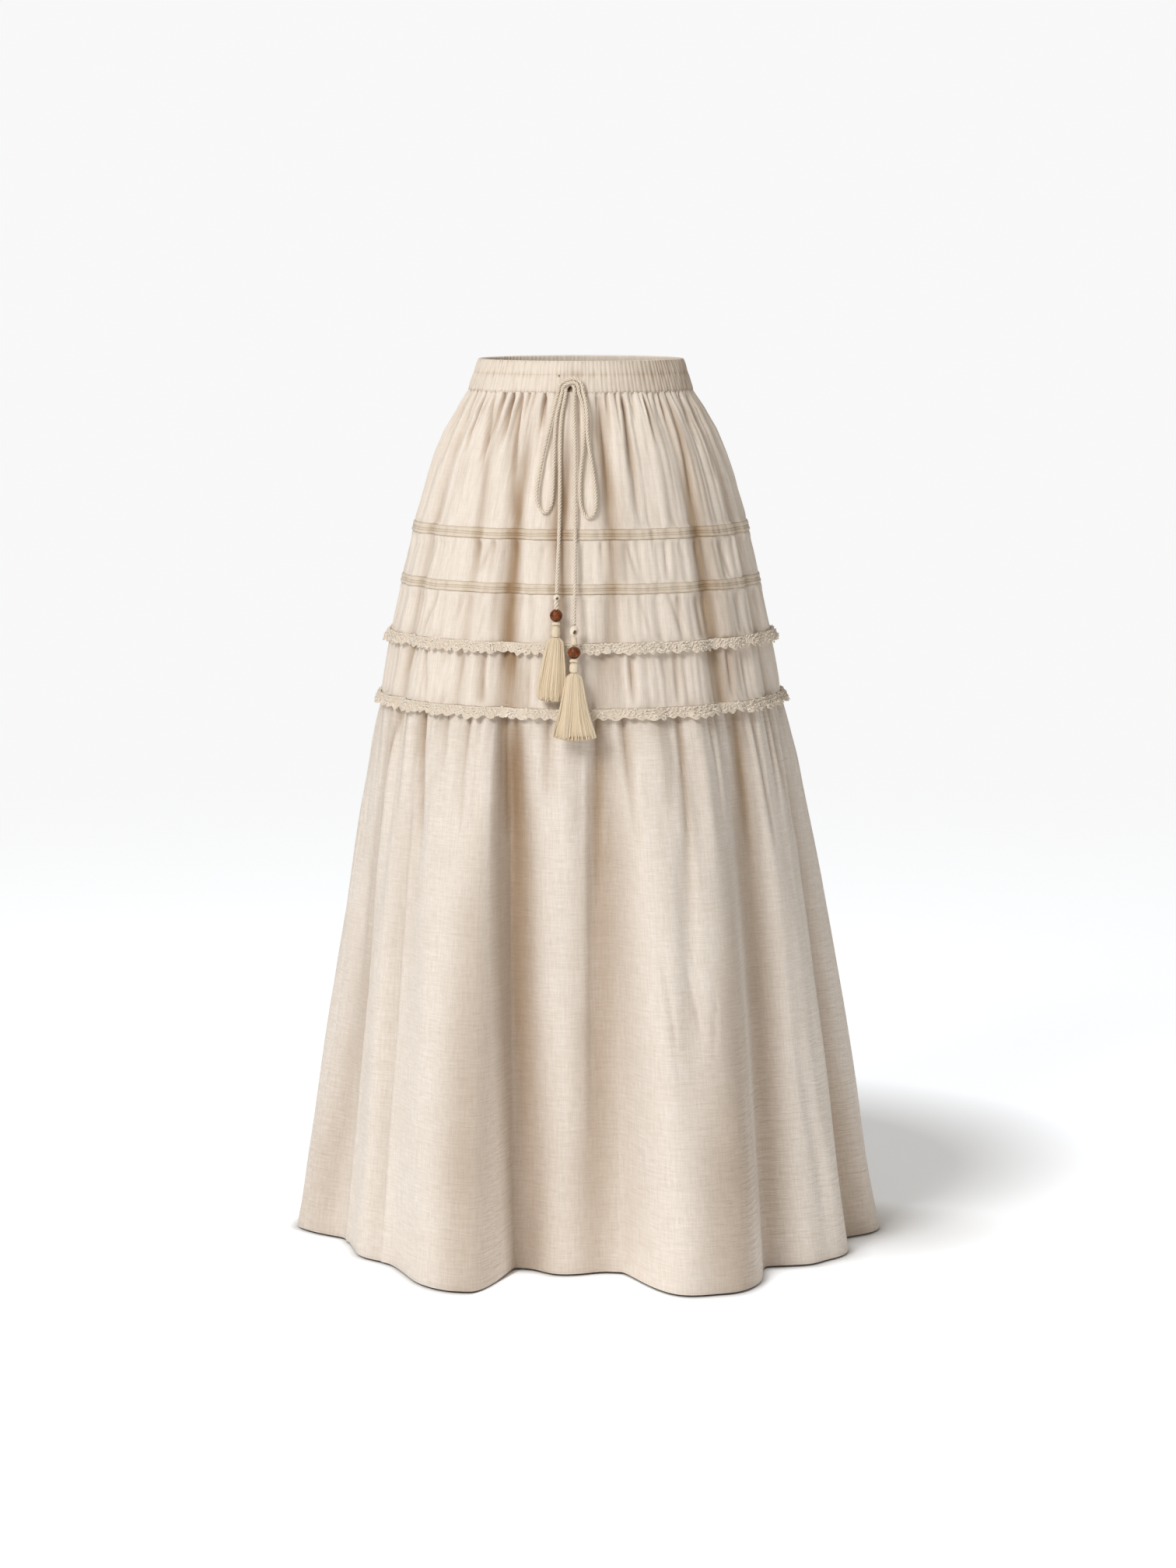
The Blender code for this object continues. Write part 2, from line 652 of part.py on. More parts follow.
def make_end_pieces(side):
    """Knot, beads and disc of one free end, each just below the last one. Returns the line's rest."""
    top, bottom = (Vector(point) for point in HANG_LINES[side])
    down = (bottom - top).normalized()
    turn = Vector((0.0, 0.0, 1.0)).rotation_difference(-down).to_matrix().to_4x4()
    place = top
    for name, finish, height, radius, rounding in END_PIECES[side]:
        middle = place + down * (height / 2)
        bm = ball(height, radius) if rounding is ROUND else drum(height, radius, rounding)
        color, roughness = END_FINISHES[finish]
        obj = add_object(name, bm, plain_material(f"{name}_{finish}", color, roughness))
        obj.matrix_world = Matrix.Translation(middle * MM) @ turn
        place = place + down * (height + SEAM_GAP)
    return place, bottom, turn


# ---------------------------------------------------------------- tassels
def round_cell(u, v):
    """Map a square of -1 to 1 onto a disc, so that a grid fills a round foot."""
    return u * math.sqrt(1.0 - v * v / 2.0), v * math.sqrt(1.0 - u * u / 2.0)


def tassel_bmesh(foot_width, tip_width, lean, length):
    """A cotton tassel: a flattened head whose underside carries a grid of separate strands."""
    across, deep = TASSEL_GRID
    half_width = foot_width / 2
    half_depth = TASSEL_DEPTH / 2
    bm = bmesh.new()
    grid = []
    for j in range(deep + 1):
        row = []
        for i in range(across + 1):
            x, y = round_cell(2.0 * i / across - 1.0, 2.0 * j / deep - 1.0)
            row.append(bm.verts.new((x * half_width * MM, y * half_depth * MM, -TASSEL_HEAD * MM)))
        grid.append(row)
    cells = []
    for near, far in zip(grid, grid[1:]):
        for i in range(across):
            cells.append(bm.faces.new((near[i], far[i], far[i + 1], near[i + 1])))

    right_side = [row[-1] for row in grid[1:-1]]
    left_side = [row[0] for row in grid[-2:0:-1]]
    low = grid[0] + right_side + grid[-1][::-1] + left_side
    foot = [vert.co.copy() for vert in low]
    for down, share in TASSEL_LEVELS:
        high = []
        for co in foot:
            high.append(bm.verts.new((co.x * share, co.y * share, -down * TASSEL_HEAD * MM)))
        for k, vert in enumerate(low):
            after = (k + 1) % len(low)
            bm.faces.new((vert, low[after], high[after], high[k]))
        low = high
    bm.faces.new(low)

    for cell in cells:
        middle = cell.calc_center_median()
        aside = middle.x / (half_width * MM)
        bmesh.ops.inset_individual(bm, faces=[cell], thickness=0.0)
        for vert in cell.verts:
            vert.co = middle + (vert.co - middle) * STRAND_SHARE
        strand = bmesh.ops.extrude_discrete_faces(bm, faces=[cell])["faces"][0]
        drop = 1.0 - MIDDLE_DROP * aside * aside
        x = (aside * tip_width / 2 + lean) * MM
        tip = Vector((x, middle.y * TASSEL_SWELL, -length * drop * MM))
        for vert in strand.verts:
            vert.co = tip + (vert.co - middle) * STRAND_TIP
    return bm


def make_tassel(side, top, bottom, turn):
    """One tassel, hung below its beads."""
    foot_width, tip_width, lean = TASSELS[side]
    bm = tassel_bmesh(foot_width, tip_width, lean, (bottom - top).length)
    obj = add_object(f"tassel_{side}", bm, plain_material(f"tassel_{side}_cotton", PALE_BEAD, 0.85))
    obj.matrix_world = Matrix.Translation(top * MM) @ turn


# ---------------------------------------------------------------- the skirt
def clear_scene():
    """Remove what the scene holds and make the skirt's own collection."""
    for obj in list(bpy.data.objects):
        bpy.data.objects.remove(obj)
    collection = bpy.data.collections.new(COLLECTION)
    bpy.context.scene.collection.children.link(collection)


def main():
    clear_scene()
    make_waistband()
    tiers, columns = make_tiers()
    for name, top, bottom, tier in TUCK_BANDS:
        make_tuck_band(name, top, bottom, columns[tier])
    flounce = make_flounce()
    make_trim("crochet_trim_1", tiers["tier_4"][0], tiers["tier_4"][1])
    make_trim("crochet_trim_2", flounce[0], flounce[1])
    make_knot()
    make_cords()
    for side in ("left", "right"):
        top, bottom, turn = make_end_pieces(side)
        make_tassel(side, top, bottom, turn)


main()
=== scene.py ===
# %% [markdown]
# # A tiered linen maxi skirt
# The real skirt is sewn from ecru linen gauze. An elastic waistband holds a gathered first tier. Two
# narrow bands with corded tucks, two crochet frills and three more tiers follow, and a long gathered
# flounce hangs from the last seam. A twisted cotton drawstring with beads and tassels is tied in front.
#
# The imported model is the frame: it fixes every size and place. Each piece here is built on the same
# form as its solid, with the finer gathers, stitches and threads that the solids leave out.

# %% Load the frame
import math
import random

import bpy
import numpy as np
from mathutils import Matrix, Vector


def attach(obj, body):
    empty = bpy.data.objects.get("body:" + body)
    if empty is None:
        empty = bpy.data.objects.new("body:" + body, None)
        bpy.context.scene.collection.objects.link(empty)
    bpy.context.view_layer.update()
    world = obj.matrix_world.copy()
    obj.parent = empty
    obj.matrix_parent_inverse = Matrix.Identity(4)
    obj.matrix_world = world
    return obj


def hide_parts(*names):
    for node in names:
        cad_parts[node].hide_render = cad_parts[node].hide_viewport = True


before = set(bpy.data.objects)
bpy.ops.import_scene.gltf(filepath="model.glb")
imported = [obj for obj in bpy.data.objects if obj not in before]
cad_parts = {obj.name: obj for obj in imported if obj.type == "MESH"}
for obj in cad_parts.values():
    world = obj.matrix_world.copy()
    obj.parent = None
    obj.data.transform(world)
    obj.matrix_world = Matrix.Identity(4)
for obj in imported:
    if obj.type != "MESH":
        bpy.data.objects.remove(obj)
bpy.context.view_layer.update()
MM = 0.001
print("The frame holds", len(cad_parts), "solids")

# %% [markdown]
# ## Camera
# A long lens from 4.6 m away looks a little down on the skirt, as in a shop's studio. Distance and
# lens together give the flat look: the hem's front bulges only a little lower than its sides.

# %% Camera
CAMERA_PLACE = (0.008, -4.56, 0.1767)
CAMERA_LENS_MM = 93.25
CAMERA_TILT = 8.0


def add_camera():
    """The studio camera, level from side to side and tilted down."""
    data = bpy.data.cameras.new("studio_camera")
    data.sensor_width = 36.0
    data.lens = CAMERA_LENS_MM
    camera = bpy.data.objects.new("studio_camera", data)
    camera.location = CAMERA_PLACE
    camera.rotation_euler = (math.radians(90.0 - CAMERA_TILT), 0.0, 0.0)
    bpy.context.scene.collection.objects.link(camera)
    bpy.context.scene.camera = camera


add_camera()
print("Camera: lens", CAMERA_LENS_MM, "mm")

# %% [markdown]
# ## Small tools
# Colours are written as hex values, as on a colour card, and one function turns them to the linear
# numbers that a shader needs. Another function adds a node with its settings and its links, for
# materials and for geometry alike. Others start a material or a mesh, and turn a finished object into a
# plain mesh without modifiers, which is what the export can read.

# %% Colours and nodes
def hex_color(code):
    """A hex colour of a screen as linear red, green, blue and alpha."""
    linear = []
    for k in (0, 2, 4):
        value = int(code[k:k + 2], 16) / 255.0
        linear.append(value / 12.92 if value <= 0.04045 else ((value + 0.055) / 1.055) ** 2.4)
    return (*linear, 1.0)


def add_node(tree, kind, inputs=None, **settings):
    """Add a node. Its settings are properties, and its inputs are values or sockets to link."""
    node = tree.nodes.new(kind)
    for name, value in settings.items():
        setattr(node, name, value)
    for key, value in (inputs or {}).items():
        if isinstance(value, bpy.types.NodeSocket):
            tree.links.new(value, node.inputs[key])
        else:
            node.inputs[key].default_value = value
    return node


def show(obj):
    """Put an object into the scene."""
    bpy.context.scene.collection.objects.link(obj)
    return obj


def as_plain_mesh(obj):
    """Swap an object for the plain mesh that its modifiers make, under the same name."""
    graph = bpy.context.evaluated_depsgraph_get()
    mesh = bpy.data.meshes.new_from_object(obj.evaluated_get(graph), depsgraph=graph)
    name = obj.name
    bpy.data.objects.remove(obj)
    mesh.name = name
    plain = show(bpy.data.objects.new(name, mesh))
    print(f"{name}: {len(mesh.loop_triangles)} triangles")
    return plain


# %% Materials, meshes and finished pieces
def new_material(name, finish):
    """A material with the values of its finish, and its node tree and shader."""
    material = bpy.data.materials.new(name)
    material.use_nodes = True
    shader = material.node_tree.nodes["Principled BSDF"]
    for title, value in finish.items():
        shader.inputs[title].default_value = value
    return material, material.node_tree, shader


def mesh_object(name, points, edges, faces, material=None, **attributes):
    """A smooth object from points, edges and faces. An attribute has a value for each point."""
    mesh = bpy.data.meshes.new(name)
    mesh.from_pydata(points, edges, faces)
    for title, values in attributes.items():
        vector = np.ndim(values) == 2
        data = mesh.attributes.new(title, "FLOAT_VECTOR" if vector else "FLOAT", "POINT").data
        data.foreach_set("vector" if vector else "value", np.ravel(values).astype(float))
    mesh.shade_smooth()
    if material:
        mesh.materials.append(material)
    return show(bpy.data.objects.new(name, mesh))


def finish_piece(piece, slot, *nodes):
    """Let a piece move with the skirt and stand for its solids, if any. The slot is not used."""
    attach(piece, "root")
    if nodes:
        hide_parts(*nodes)
    return piece


FULL_TURN = 2.0 * math.pi
print("White as a shader reads it:", hex_color("FFFFFF"))

# %% [markdown]
# ## The form under the cloth
# A tailor thinks of this skirt as rings: each height has a half width and a half depth, and the cloth
# lies over an ellipse of that size. An angle round the skirt is 0 at the front centre, 90 at the
# right seam and -90 at the left seam. Sizes are in millimetres until a mesh is made. Nearly the same
# rings, valleys and folds shape the solids of the frame, so that the fine cloth lies on them.

# %% Rings of the body
SEAM_GAP = 0.3
WAIST_TOP = 16.5
CASING_SEAM = -19.0
TUCK_1 = (-163.3, -175.2)
TUCK_2 = (-222.0, -233.3)
TRIM_1_SEAM = -284.6
TRIM_2_SEAM = -354.6
TRIM_DROP = 12.6
HEM = -981.0
#   z, half width, half depth
OUTLINE = np.array((
    (16.5, 114.5, 92.0), (-19.0, 126.2, 101.5), (-37.0, 138.4, 112.0), (-63.0, 151.6, 124.0),
    (-89.0, 162.6, 135.0), (-115.0, 171.0, 144.0), (-141.0, 178.1, 151.0), (-169.5, 186.5, 158.0),
    (-228.0, 199.5, 171.0), (-291.0, 213.5, 184.5), (-360.0, 228.0, 198.0),
))


def outline_at(z):
    """Half width and half depth of the body at a height, or at an array of heights."""
    down = -OUTLINE[:, 0]
    return np.interp(-z, down, OUTLINE[:, 1]), np.interp(-z, down, OUTLINE[:, 2])


def on_ellipse(angle, half_width, half_depth, offset, z, shift=0.0, swing=0.0):
    """Points of an ellipse, moved out along its normal by offset and along it by swing."""
    turn = np.radians(angle)
    across, ahead = np.sin(turn) / half_width, -np.cos(turn) / half_depth
    length = np.hypot(across, ahead)
    across, ahead = across / length, ahead / length
    x = shift + half_width * np.sin(turn) + across * offset - ahead * swing
    y = -half_depth * np.cos(turn) + ahead * offset + across * swing
    return np.stack(np.broadcast_arrays(x, y, z), axis=-1)


def on_body(angle, z, offset):
    """Points that stand off the body's outline by an offset."""
    return on_ellipse(angle, *outline_at(z), offset, z)


def ring_angles(count):
    """Angles all round the skirt, from the left seam on."""
    return np.linspace(-90.0, 270.0, count, endpoint=False)[None, :]


def turned_by(angle, middle):
    """How far an angle is from a middle, from -180 to 180 degrees."""
    return (angle - middle + 180.0) % 360.0 - 180.0


def hill(away, spread):
    """A soft hill of height 1 that ends at its spread."""
    share = np.clip(np.abs(away) / spread, 0.0, 1.0)
    return np.cos(0.5 * np.pi * share) ** 2


print("Skirt, rim to hem:", WAIST_TOP - HEM, "mm")

# %% Valleys and gathers
#   angle, half spread, depth
VALLEYS = (
    (-64, 7, 6), (-38, 6, 4), (-23, 7, 9), (10, 6, 3.5), (44.5, 7, 7), (70, 7, 6),
    (109, 8, 8), (138, 7, 9), (163, 7, 7), (189, 7, 7), (216, 8, 9), (244, 7, 6),
)
VALLEY_HEIGHTS = (19.0, 60.0, 120.0, 200.0)
VALLEY_SHARES = (0.0, 0.35, 0.75, 1.0)


def valley_depth(angle, z):
    """How far the cloth sinks between its folds."""
    depth = sum(deep * hill(turned_by(angle, middle), spread) for middle, spread, deep in VALLEYS)
    return depth * np.interp(-z, VALLEY_HEIGHTS, VALLEY_SHARES)


def gather_table(count, seed):
    """Uneven gathers for both halves of a ring: start angle, end angle and share of full height."""
    rng = random.Random(seed)
    table = []
    for start in (-90.0, 90.0):
        widths = [rng.uniform(0.7, 1.3) for _ in range(count // 2)]
        scale = 180.0 / sum(widths)
        angle = start
        for width in widths:
            table.append((angle, angle + width * scale, rng.uniform(0.65, 1.0)))
            angle += width * scale
    return table


def gather_wave(angle, table):
    """Height of the gathers, from 0 in a valley to 1 on the highest crest."""
    angle = (angle + 90.0) % 360.0 - 90.0
    wave = np.zeros_like(angle)
    for start, end, share in table:
        inside = (angle >= start) & (angle <= end)
        rise = np.sin(np.pi * np.clip((angle - start) / (end - start), 0.0, 1.0))
        wave = np.where(inside, share * np.maximum(rise, 0.0) ** 1.2, wave)
    return wave


print("Valleys:", len(VALLEYS))

# %% [markdown]
# ## Fine pleats and creases
# Where cloth is gathered into a seam it folds into narrow pleats. Each runs out at its own length, so
# a plain wave would look like a machine's. Here a seeded loop gives each pleat its place, depth,
# length and lean. The creases that give the skirt its character are listed in short tables.

# %% Pleats and creases
def pleats(angle, away, count, seed, depth, reach, spread, lean=0.02):
    """How far narrow pleats sink the cloth, at a distance away from the seam that they start in."""
    rng = random.Random(seed)
    sunk = np.zeros(np.broadcast(angle, away).shape)
    for k in range(count):
        middle = -90.0 + 360.0 * (k + rng.uniform(0.15, 0.85)) / count
        deep = depth * rng.uniform(0.35, 1.0)
        long = reach * rng.uniform(0.25, 1.0) ** 1.3
        wide = spread * rng.uniform(0.7, 1.5)
        tilt = lean * rng.uniform(-1.0, 1.0)
        fade = np.clip(1.0 - away / long, 0.0, 1.0) ** 1.5
        share = np.clip(1.0 - np.abs(turned_by(angle, middle + tilt * away)) / wide, 0.0, 1.0)
        sunk += deep * fade * share ** 1.4
    return sunk


def trough(away, spread):
    """A valley of depth 1 with a crisp line at its bottom, as folded cloth has."""
    return np.clip(1.0 - np.abs(away) / spread, 0.0, 1.0) ** 1.5


def creases(angle, z, rows, section=trough):
    """Listed troughs (depth above 0) and ridges (below 0) with one section.

    A row holds the height and angle at its start, the height and angle at its end, half its width in
    degrees, its depth, and the shares of its length over which it comes in and fades out.
    """
    sunk = np.zeros(np.broadcast(angle, z).shape)
    for z_start, angle_start, z_end, angle_end, spread, depth, come_in, fade_out in rows:
        place = (z_start - z) / (z_start - z_end)
        middle = angle_start + (angle_end - angle_start) * np.clip(place, 0.0, 1.0)
        ease_in = np.clip(place / max(come_in, 0.001), 0.0, 1.0)
        ease_out = np.clip((1.0 - place) / max(fade_out, 0.001), 0.0, 1.0)
        ease = (ease_in * (2.0 - ease_in)) * (ease_out * (2.0 - ease_out))
        ease = np.where((place >= 0.0) & (place <= 1.0), ease, 0.0)
        sunk += depth * ease * section(turned_by(angle, middle), spread)
    return sunk


def shades(angle, z, rows):
    """Shade of broad valleys. A row is a line of stations down the skirt.

    A station holds height, angle, reach to the left and to the right in degrees, and darkness.
    """
    total = np.zeros(np.broadcast(angle, z).shape)
    for stations in rows:
        heights, *columns = np.array(stations).T
        middle, left, right, dark = (np.interp(-z, -heights, column) for column in columns)
        away = turned_by(angle, middle)
        total += dark * hill(away, np.where(away > 0.0, right, left)) ** 1.2
    return total


def unrest(angle, z, seed, lengths, height):
    """Small uneven swells of the cloth: a few seeded waves, longer down the cloth than across it."""
    rng = random.Random(seed)
    total = np.zeros(np.broadcast(angle, z).shape)
    for _ in range(7):
        cycles = max(1, round(360.0 / rng.uniform(*lengths[0])))
        across = np.radians(rng.choice((-1, 1)) * cycles)
        down = 2.0 * np.pi / rng.uniform(*lengths[1])
        total += np.sin(across * angle + down * z + rng.uniform(0.0, 2.0 * np.pi))
    return height * total / 7 ** 0.5


def ripples(angle, z, layers, seed):
    """Narrow standing ripples of gathered cloth, round on their crests and sharp in their valleys.

    A layer holds how many there are round the skirt, their height, and how far they lean from side to
    side over a metre of height, in degrees. Each stretch of cloth has its own strength.
    """
    sunk = np.zeros(np.broadcast(angle, z).shape)
    for number, (count, height, lean) in enumerate(layers):
        drift = unrest(angle, z, seed + number, ((30.0, 90.0), (260.0, 900.0)), lean)
        strength = 0.62 + unrest(angle, z, seed + 7 + number, ((12.0, 50.0), (60.0, 260.0)), 0.3)
        wave = gather_wave(angle + drift, gather_table(count, seed + 3 * number))
        sunk += height * np.clip(strength, 0.1, 1.2) * (1.0 - wave)
    return sunk


print("Section of a crease at its middle and halfway:", trough(0.0, 1.0), round(float(trough(0.5, 1.0)), 2))

# %% [markdown]
# ## From rows of points to cloth
# A piece of cloth is a grid: its rows run round the skirt and its columns run down. The lengths along
# both give a UV map in metres, so that the weave keeps its size. Each point also gets a fold value, by
# which the material darkens the depth of a fold. That shade adds to the light's own in the valleys.

# %% Meshes from rows of points
def quads_between(rows, columns, closed=True):
    """Faces between the rows of a grid of points. A closed row is joined to its own start."""
    spans = columns if closed else columns - 1
    top = np.arange(rows - 1)[:, None] * columns
    left, right = np.arange(spans), (np.arange(spans) + 1) % columns
    quads = np.stack((top + left, top + columns + left, top + columns + right, top + right), axis=-1)
    return quads.reshape(-1, 4).tolist()


def grid_mesh(name, points, length_across, length_down, folds, material, closed=False):
    """An object from rows of points in millimetres, with its cloth UV map and its fold shade."""
    rows, columns = points.shape[:2]
    spans = columns if closed else columns - 1
    folds = np.clip(np.broadcast_to(folds, (rows, columns)), 0, 2).ravel()
    sheet = mesh_object(name, (points.reshape(-1, 3) * MM).tolist(), [],
                        quads_between(rows, columns, closed), material, fold=folds)
    after = np.append(length_across, length_across[-1] + length_across[1] - length_across[0])
    u = np.broadcast_to(np.stack((after[:spans], after[:spans], after[1:spans + 1], after[1:spans + 1]),
                                 axis=-1), (rows - 1, spans, 4))
    v_high, v_low = length_down[:-1, None], length_down[1:, None]
    v = np.broadcast_to(np.stack((v_high, v_low, v_low, v_high), axis=-1), (rows - 1, spans, 4))
    uv = sheet.data.uv_layers.new(name="cloth")
    uv.data.foreach_set("uv", (np.stack((u, v), axis=-1) * MM).ravel())
    return sheet


def arc_length(row):
    """Length along a row of points, from its start."""
    steps = np.linalg.norm(np.diff(row, axis=0), axis=1)
    return np.concatenate(([0.0], np.cumsum(steps)))


SHARP_DEGREES = 55.0           # edges of a wall that turn more than this stay crisp


def thicken(obj, thickness):
    """Give a sheet its thickness, inwards."""
    wall = obj.modifiers.new("cloth_thickness", "SOLIDIFY")
    wall.thickness = thickness * MM
    wall.offset = -1.0
    sheet = as_plain_mesh(obj)
    sheet.data.set_sharp_from_angle(angle=math.radians(SHARP_DEGREES))
    return sheet


HALVES = (("front", -90.0, 90.0), ("back", 90.0, 270.0))
print("Each tier and the flounce have a front and a back, joined at the side seams")

# %% [markdown]
# ## Finishes of the cloth
# The cloth is linen gauze: flax spun into uneven yarn, woven plain and washed soft. Flax gives it a
# dull sheen at glancing angles and a roughness near 0.85. Slubs, the thick places of the yarn, show as
# short streaks along both thread directions. The threads of such a gauze lie 0.6 mm apart, too fine to
# see from a few metres, so the weave is drawn 1.5 mm apart.

# %% Linen gauze
THREAD_SPACING_MM = 1.5
#   length and width of the slubs, and their share of the tone
SLUBS_MM = ((14.0, 1.1, 0.6), (46.0, 2.6, 0.4))
CRINKLE_MM = (24.0, 5.0)       # length and height of the crinkles that run across the cloth
FOLD_SHADE_TONE = "AC957A"           # painted shade: what a deep fold multiplies the cloth's colour by
BOW_HOLLOW_SHADOW_TONE = "4A3C2C"           # painted shadow: the dark colour in the pucker behind the bow


def streaks(tree, cloth_map, long_mm, wide_mm, upright, detail=2.0):
    """Noise drawn out along one thread direction of the cloth."""
    scale = (1.0 / wide_mm, 1.0 / long_mm, 1.0) if upright else (1.0 / long_mm, 1.0 / wide_mm, 1.0)
    stretched = add_node(tree, "ShaderNodeMapping", {"Vector": cloth_map, "Scale": [s / MM for s in scale]})
    return add_node(tree, "ShaderNodeTexNoise",
                    {"Vector": stretched.outputs[0], "Scale": 1.0, "Detail": detail, "Roughness": 0.6},
                    noise_dimensions="2D").outputs["Fac"]


def layered(tree, layers):
    """The sum of layers, each times its share."""
    total = 0.0
    for layer, share in layers:
        total = add_node(tree, "ShaderNodeMath", {0: layer, 1: share, 2: total},
                         operation="MULTIPLY_ADD").outputs[0]
    return total


def cloth_material(name, pale, deep, bump_depth_mm, crinkle, warp_share):
    """Woven linen: slubs, threads and crinkles on the cloth's own UV map, with painted shade in its folds.

    Crinkle is how strong the crinkles are, and warp share how much of the slubs runs down the cloth.
    """
    material, tree, shader = new_material(name, {"Roughness": 0.86, "Specular IOR Level": 0.25,
                                                 "Sheen Weight": 0.18, "Sheen Roughness": 0.45})
    cloth_map = add_node(tree, "ShaderNodeUVMap", uv_map="cloth").outputs[0]
    weights = ((False, 2.0 * (1.0 - warp_share)), (True, 2.0 * warp_share))
    slubs = layered(tree, [(streaks(tree, cloth_map, long_mm, wide_mm, upright), share * weight)
                           for long_mm, wide_mm, share in SLUBS_MM for upright, weight in weights])
    tone = add_node(tree, "ShaderNodeMapRange", {"Value": slubs, "From Min": 0.65, "From Max": 1.3})
    clouds = add_node(tree, "ShaderNodeTexNoise", {"Vector": cloth_map, "Scale": 14.0, "Detail": 2.0},
                      noise_dimensions="2D")
    cloudy = add_node(tree, "ShaderNodeMapRange", {"Value": clouds.outputs["Fac"], "From Min": 0.35,
                                                   "From Max": 0.75, "To Min": 0.0, "To Max": 0.25})
    # Painted shade: the fold value of each point darkens the cloth in its folds and valleys.
    fold = add_node(tree, "ShaderNodeAttribute", attribute_name="fold").outputs["Fac"]
    # Painted shadow: a fold value above 1, only in the pucker behind the bow, turns the colour dark brown.
    hole = add_node(tree, "ShaderNodeMapRange", {"Value": fold, "From Min": 1.0, "From Max": 1.8})
    color = hex_color(deep)
    for factor, how, other in ((tone.outputs[0], "MIX", pale), (cloudy.outputs[0], "MIX", deep),
                               (fold, "MULTIPLY", FOLD_SHADE_TONE), (hole.outputs[0], "MIX", BOW_HOLLOW_SHADOW_TONE)):
        color = add_node(tree, "ShaderNodeMix", {0: factor, 6: color, 7: hex_color(other)},
                         data_type="RGBA", blend_type=how).outputs[2]
    tree.links.new(color, shader.inputs["Base Color"])

    parts = add_node(tree, "ShaderNodeSeparateXYZ", {"Vector": cloth_map}).outputs
    phases = [add_node(tree, "ShaderNodeMath", {0: parts[axis], 1: FULL_TURN / (THREAD_SPACING_MM * MM)},
                       operation="MULTIPLY").outputs[0] for axis in (0, 1)]
    warp, weft = [add_node(tree, "ShaderNodeMath", {0: phase}, operation="SINE").outputs[0]
                  for phase in phases]
    checks = add_node(tree, "ShaderNodeMath", {0: warp, 1: weft}, operation="MULTIPLY").outputs[0]
    crinkles = streaks(tree, cloth_map, *CRINKLE_MM, upright=False, detail=3.0)
    lower = add_node(tree, "ShaderNodeMapRange", {"Value": parts[1], "From Min": -0.6, "From Max": -0.9,
                                                  "To Min": 0.5, "To Max": 1.3}).outputs[0]
    crinkles = add_node(tree, "ShaderNodeMath", {0: crinkles, 1: lower}, operation="MULTIPLY").outputs[0]
    height = layered(tree, ((checks, 0.08), (slubs, 0.2), (crinkles, 4.0 * crinkle)))
    bump = add_node(tree, "ShaderNodeBump", {"Height": height, "Distance": bump_depth_mm * MM,
                                             "Strength": 0.7})
    tree.links.new(bump.outputs[0], shader.inputs["Normal"])
    return material


LINEN = cloth_material("washed_linen_gauze", "F4EAE0", "E3D6C6", 0.45, 0.25, 0.75)
# The casing's linen is a slightly darker copy of the linen: painted shade for the light that its fine ribs
# trap.
SHADED_CASING_LINEN = cloth_material("gathered_linen_casing_shaded", "F0E5D9", "DFD1C0", 0.45, 0.1, 0.8)
FLOUNCE_LINEN = cloth_material("washed_linen_flounce", "F2E9E0", "DBCEBF", 0.55, 0.9, 0.5)
TUCK_LINEN = cloth_material("corded_linen_band", "EADDCD", "DACBB7", 0.35, 0.1, 0.4)
print("Linen: threads", THREAD_SPACING_MM, "mm apart")

# %% [markdown]
# ## Waistband
# The waistband is a tube of cloth over wide elastic, stitched once along its middle. The elastic draws
# the cloth into 150 fine ribs, no two alike. The section of the tube is drawn once, as a closed loop
# down the outside and up the inside, and is carried round the waist.

# %% Waistband
RIBS = 150
RIB_SEED = 20
RIB_HEIGHT = 1.35
CHANNEL_LINE = 1.5
CHANNEL_PUFF = 0.4
WAIST_PROUD = 0.5              # the fluffy ribs stand out over the elastic
ELASTIC = 2.6
WAIST_COLUMNS = 900
CASING_RIM = WAIST_TOP - 0.8   # the ribs end here and the rim rounds over
#   how far the rim's rings rise above that, and how far they stand off the outline
RIM_RINGS = ((0.7, -0.35), (0.9, -1.4), (0.5, -2.6))
BOW_HOLLOW = (-5.9, -12.6)     # angle and height of the pucker behind the bow
EYELET = (-11.4, 0.4)          # angle and height of the small stitched eyelet


def rib_depth(angle, z):
    """How far the elastic casing sinks: ribs across it, and pulled in along its stitch lines."""
    table = gather_table(RIBS, RIB_SEED)
    second = gather_table(74, RIB_SEED + 1)
    wave = 0.72 * gather_wave(angle, table) + 0.28 * gather_wave(angle, second)
    lines = np.array((WAIST_TOP, CHANNEL_LINE, CASING_SEAM))
    nearest = np.abs(z[..., None] - lines).min(axis=-1)
    puff = np.sin(0.5 * np.pi * np.clip(nearest / 6.0, 0.0, 1.0))
    drift = unrest(angle, z, 33, ((4.0, 9.0), (12.0, 40.0)), 0.22)
    tuck_in = 0.5 * np.clip(1.0 - (z - CASING_SEAM) / 5.0, 0.0, 1.0) ** 2
    return (RIB_HEIGHT * (1.15 - 0.3 * puff) * (1.0 - wave) + CHANNEL_PUFF * (1.0 - puff) * 0.8 + drift
            + unrest(angle, z, 31, ((20.0, 60.0), (40.0, 90.0)), 0.25) + 2.0 * hollow(angle, z) + tuck_in
            - WAIST_PROUD)


def hollow(angle, z):
    """The pucker in the waistband behind the bow: 1 at its middle and 0 past its edge."""
    middle, height = BOW_HOLLOW
    away = np.hypot(2.15 * turned_by(angle, middle), z - height)
    return hill(away, 7.0)


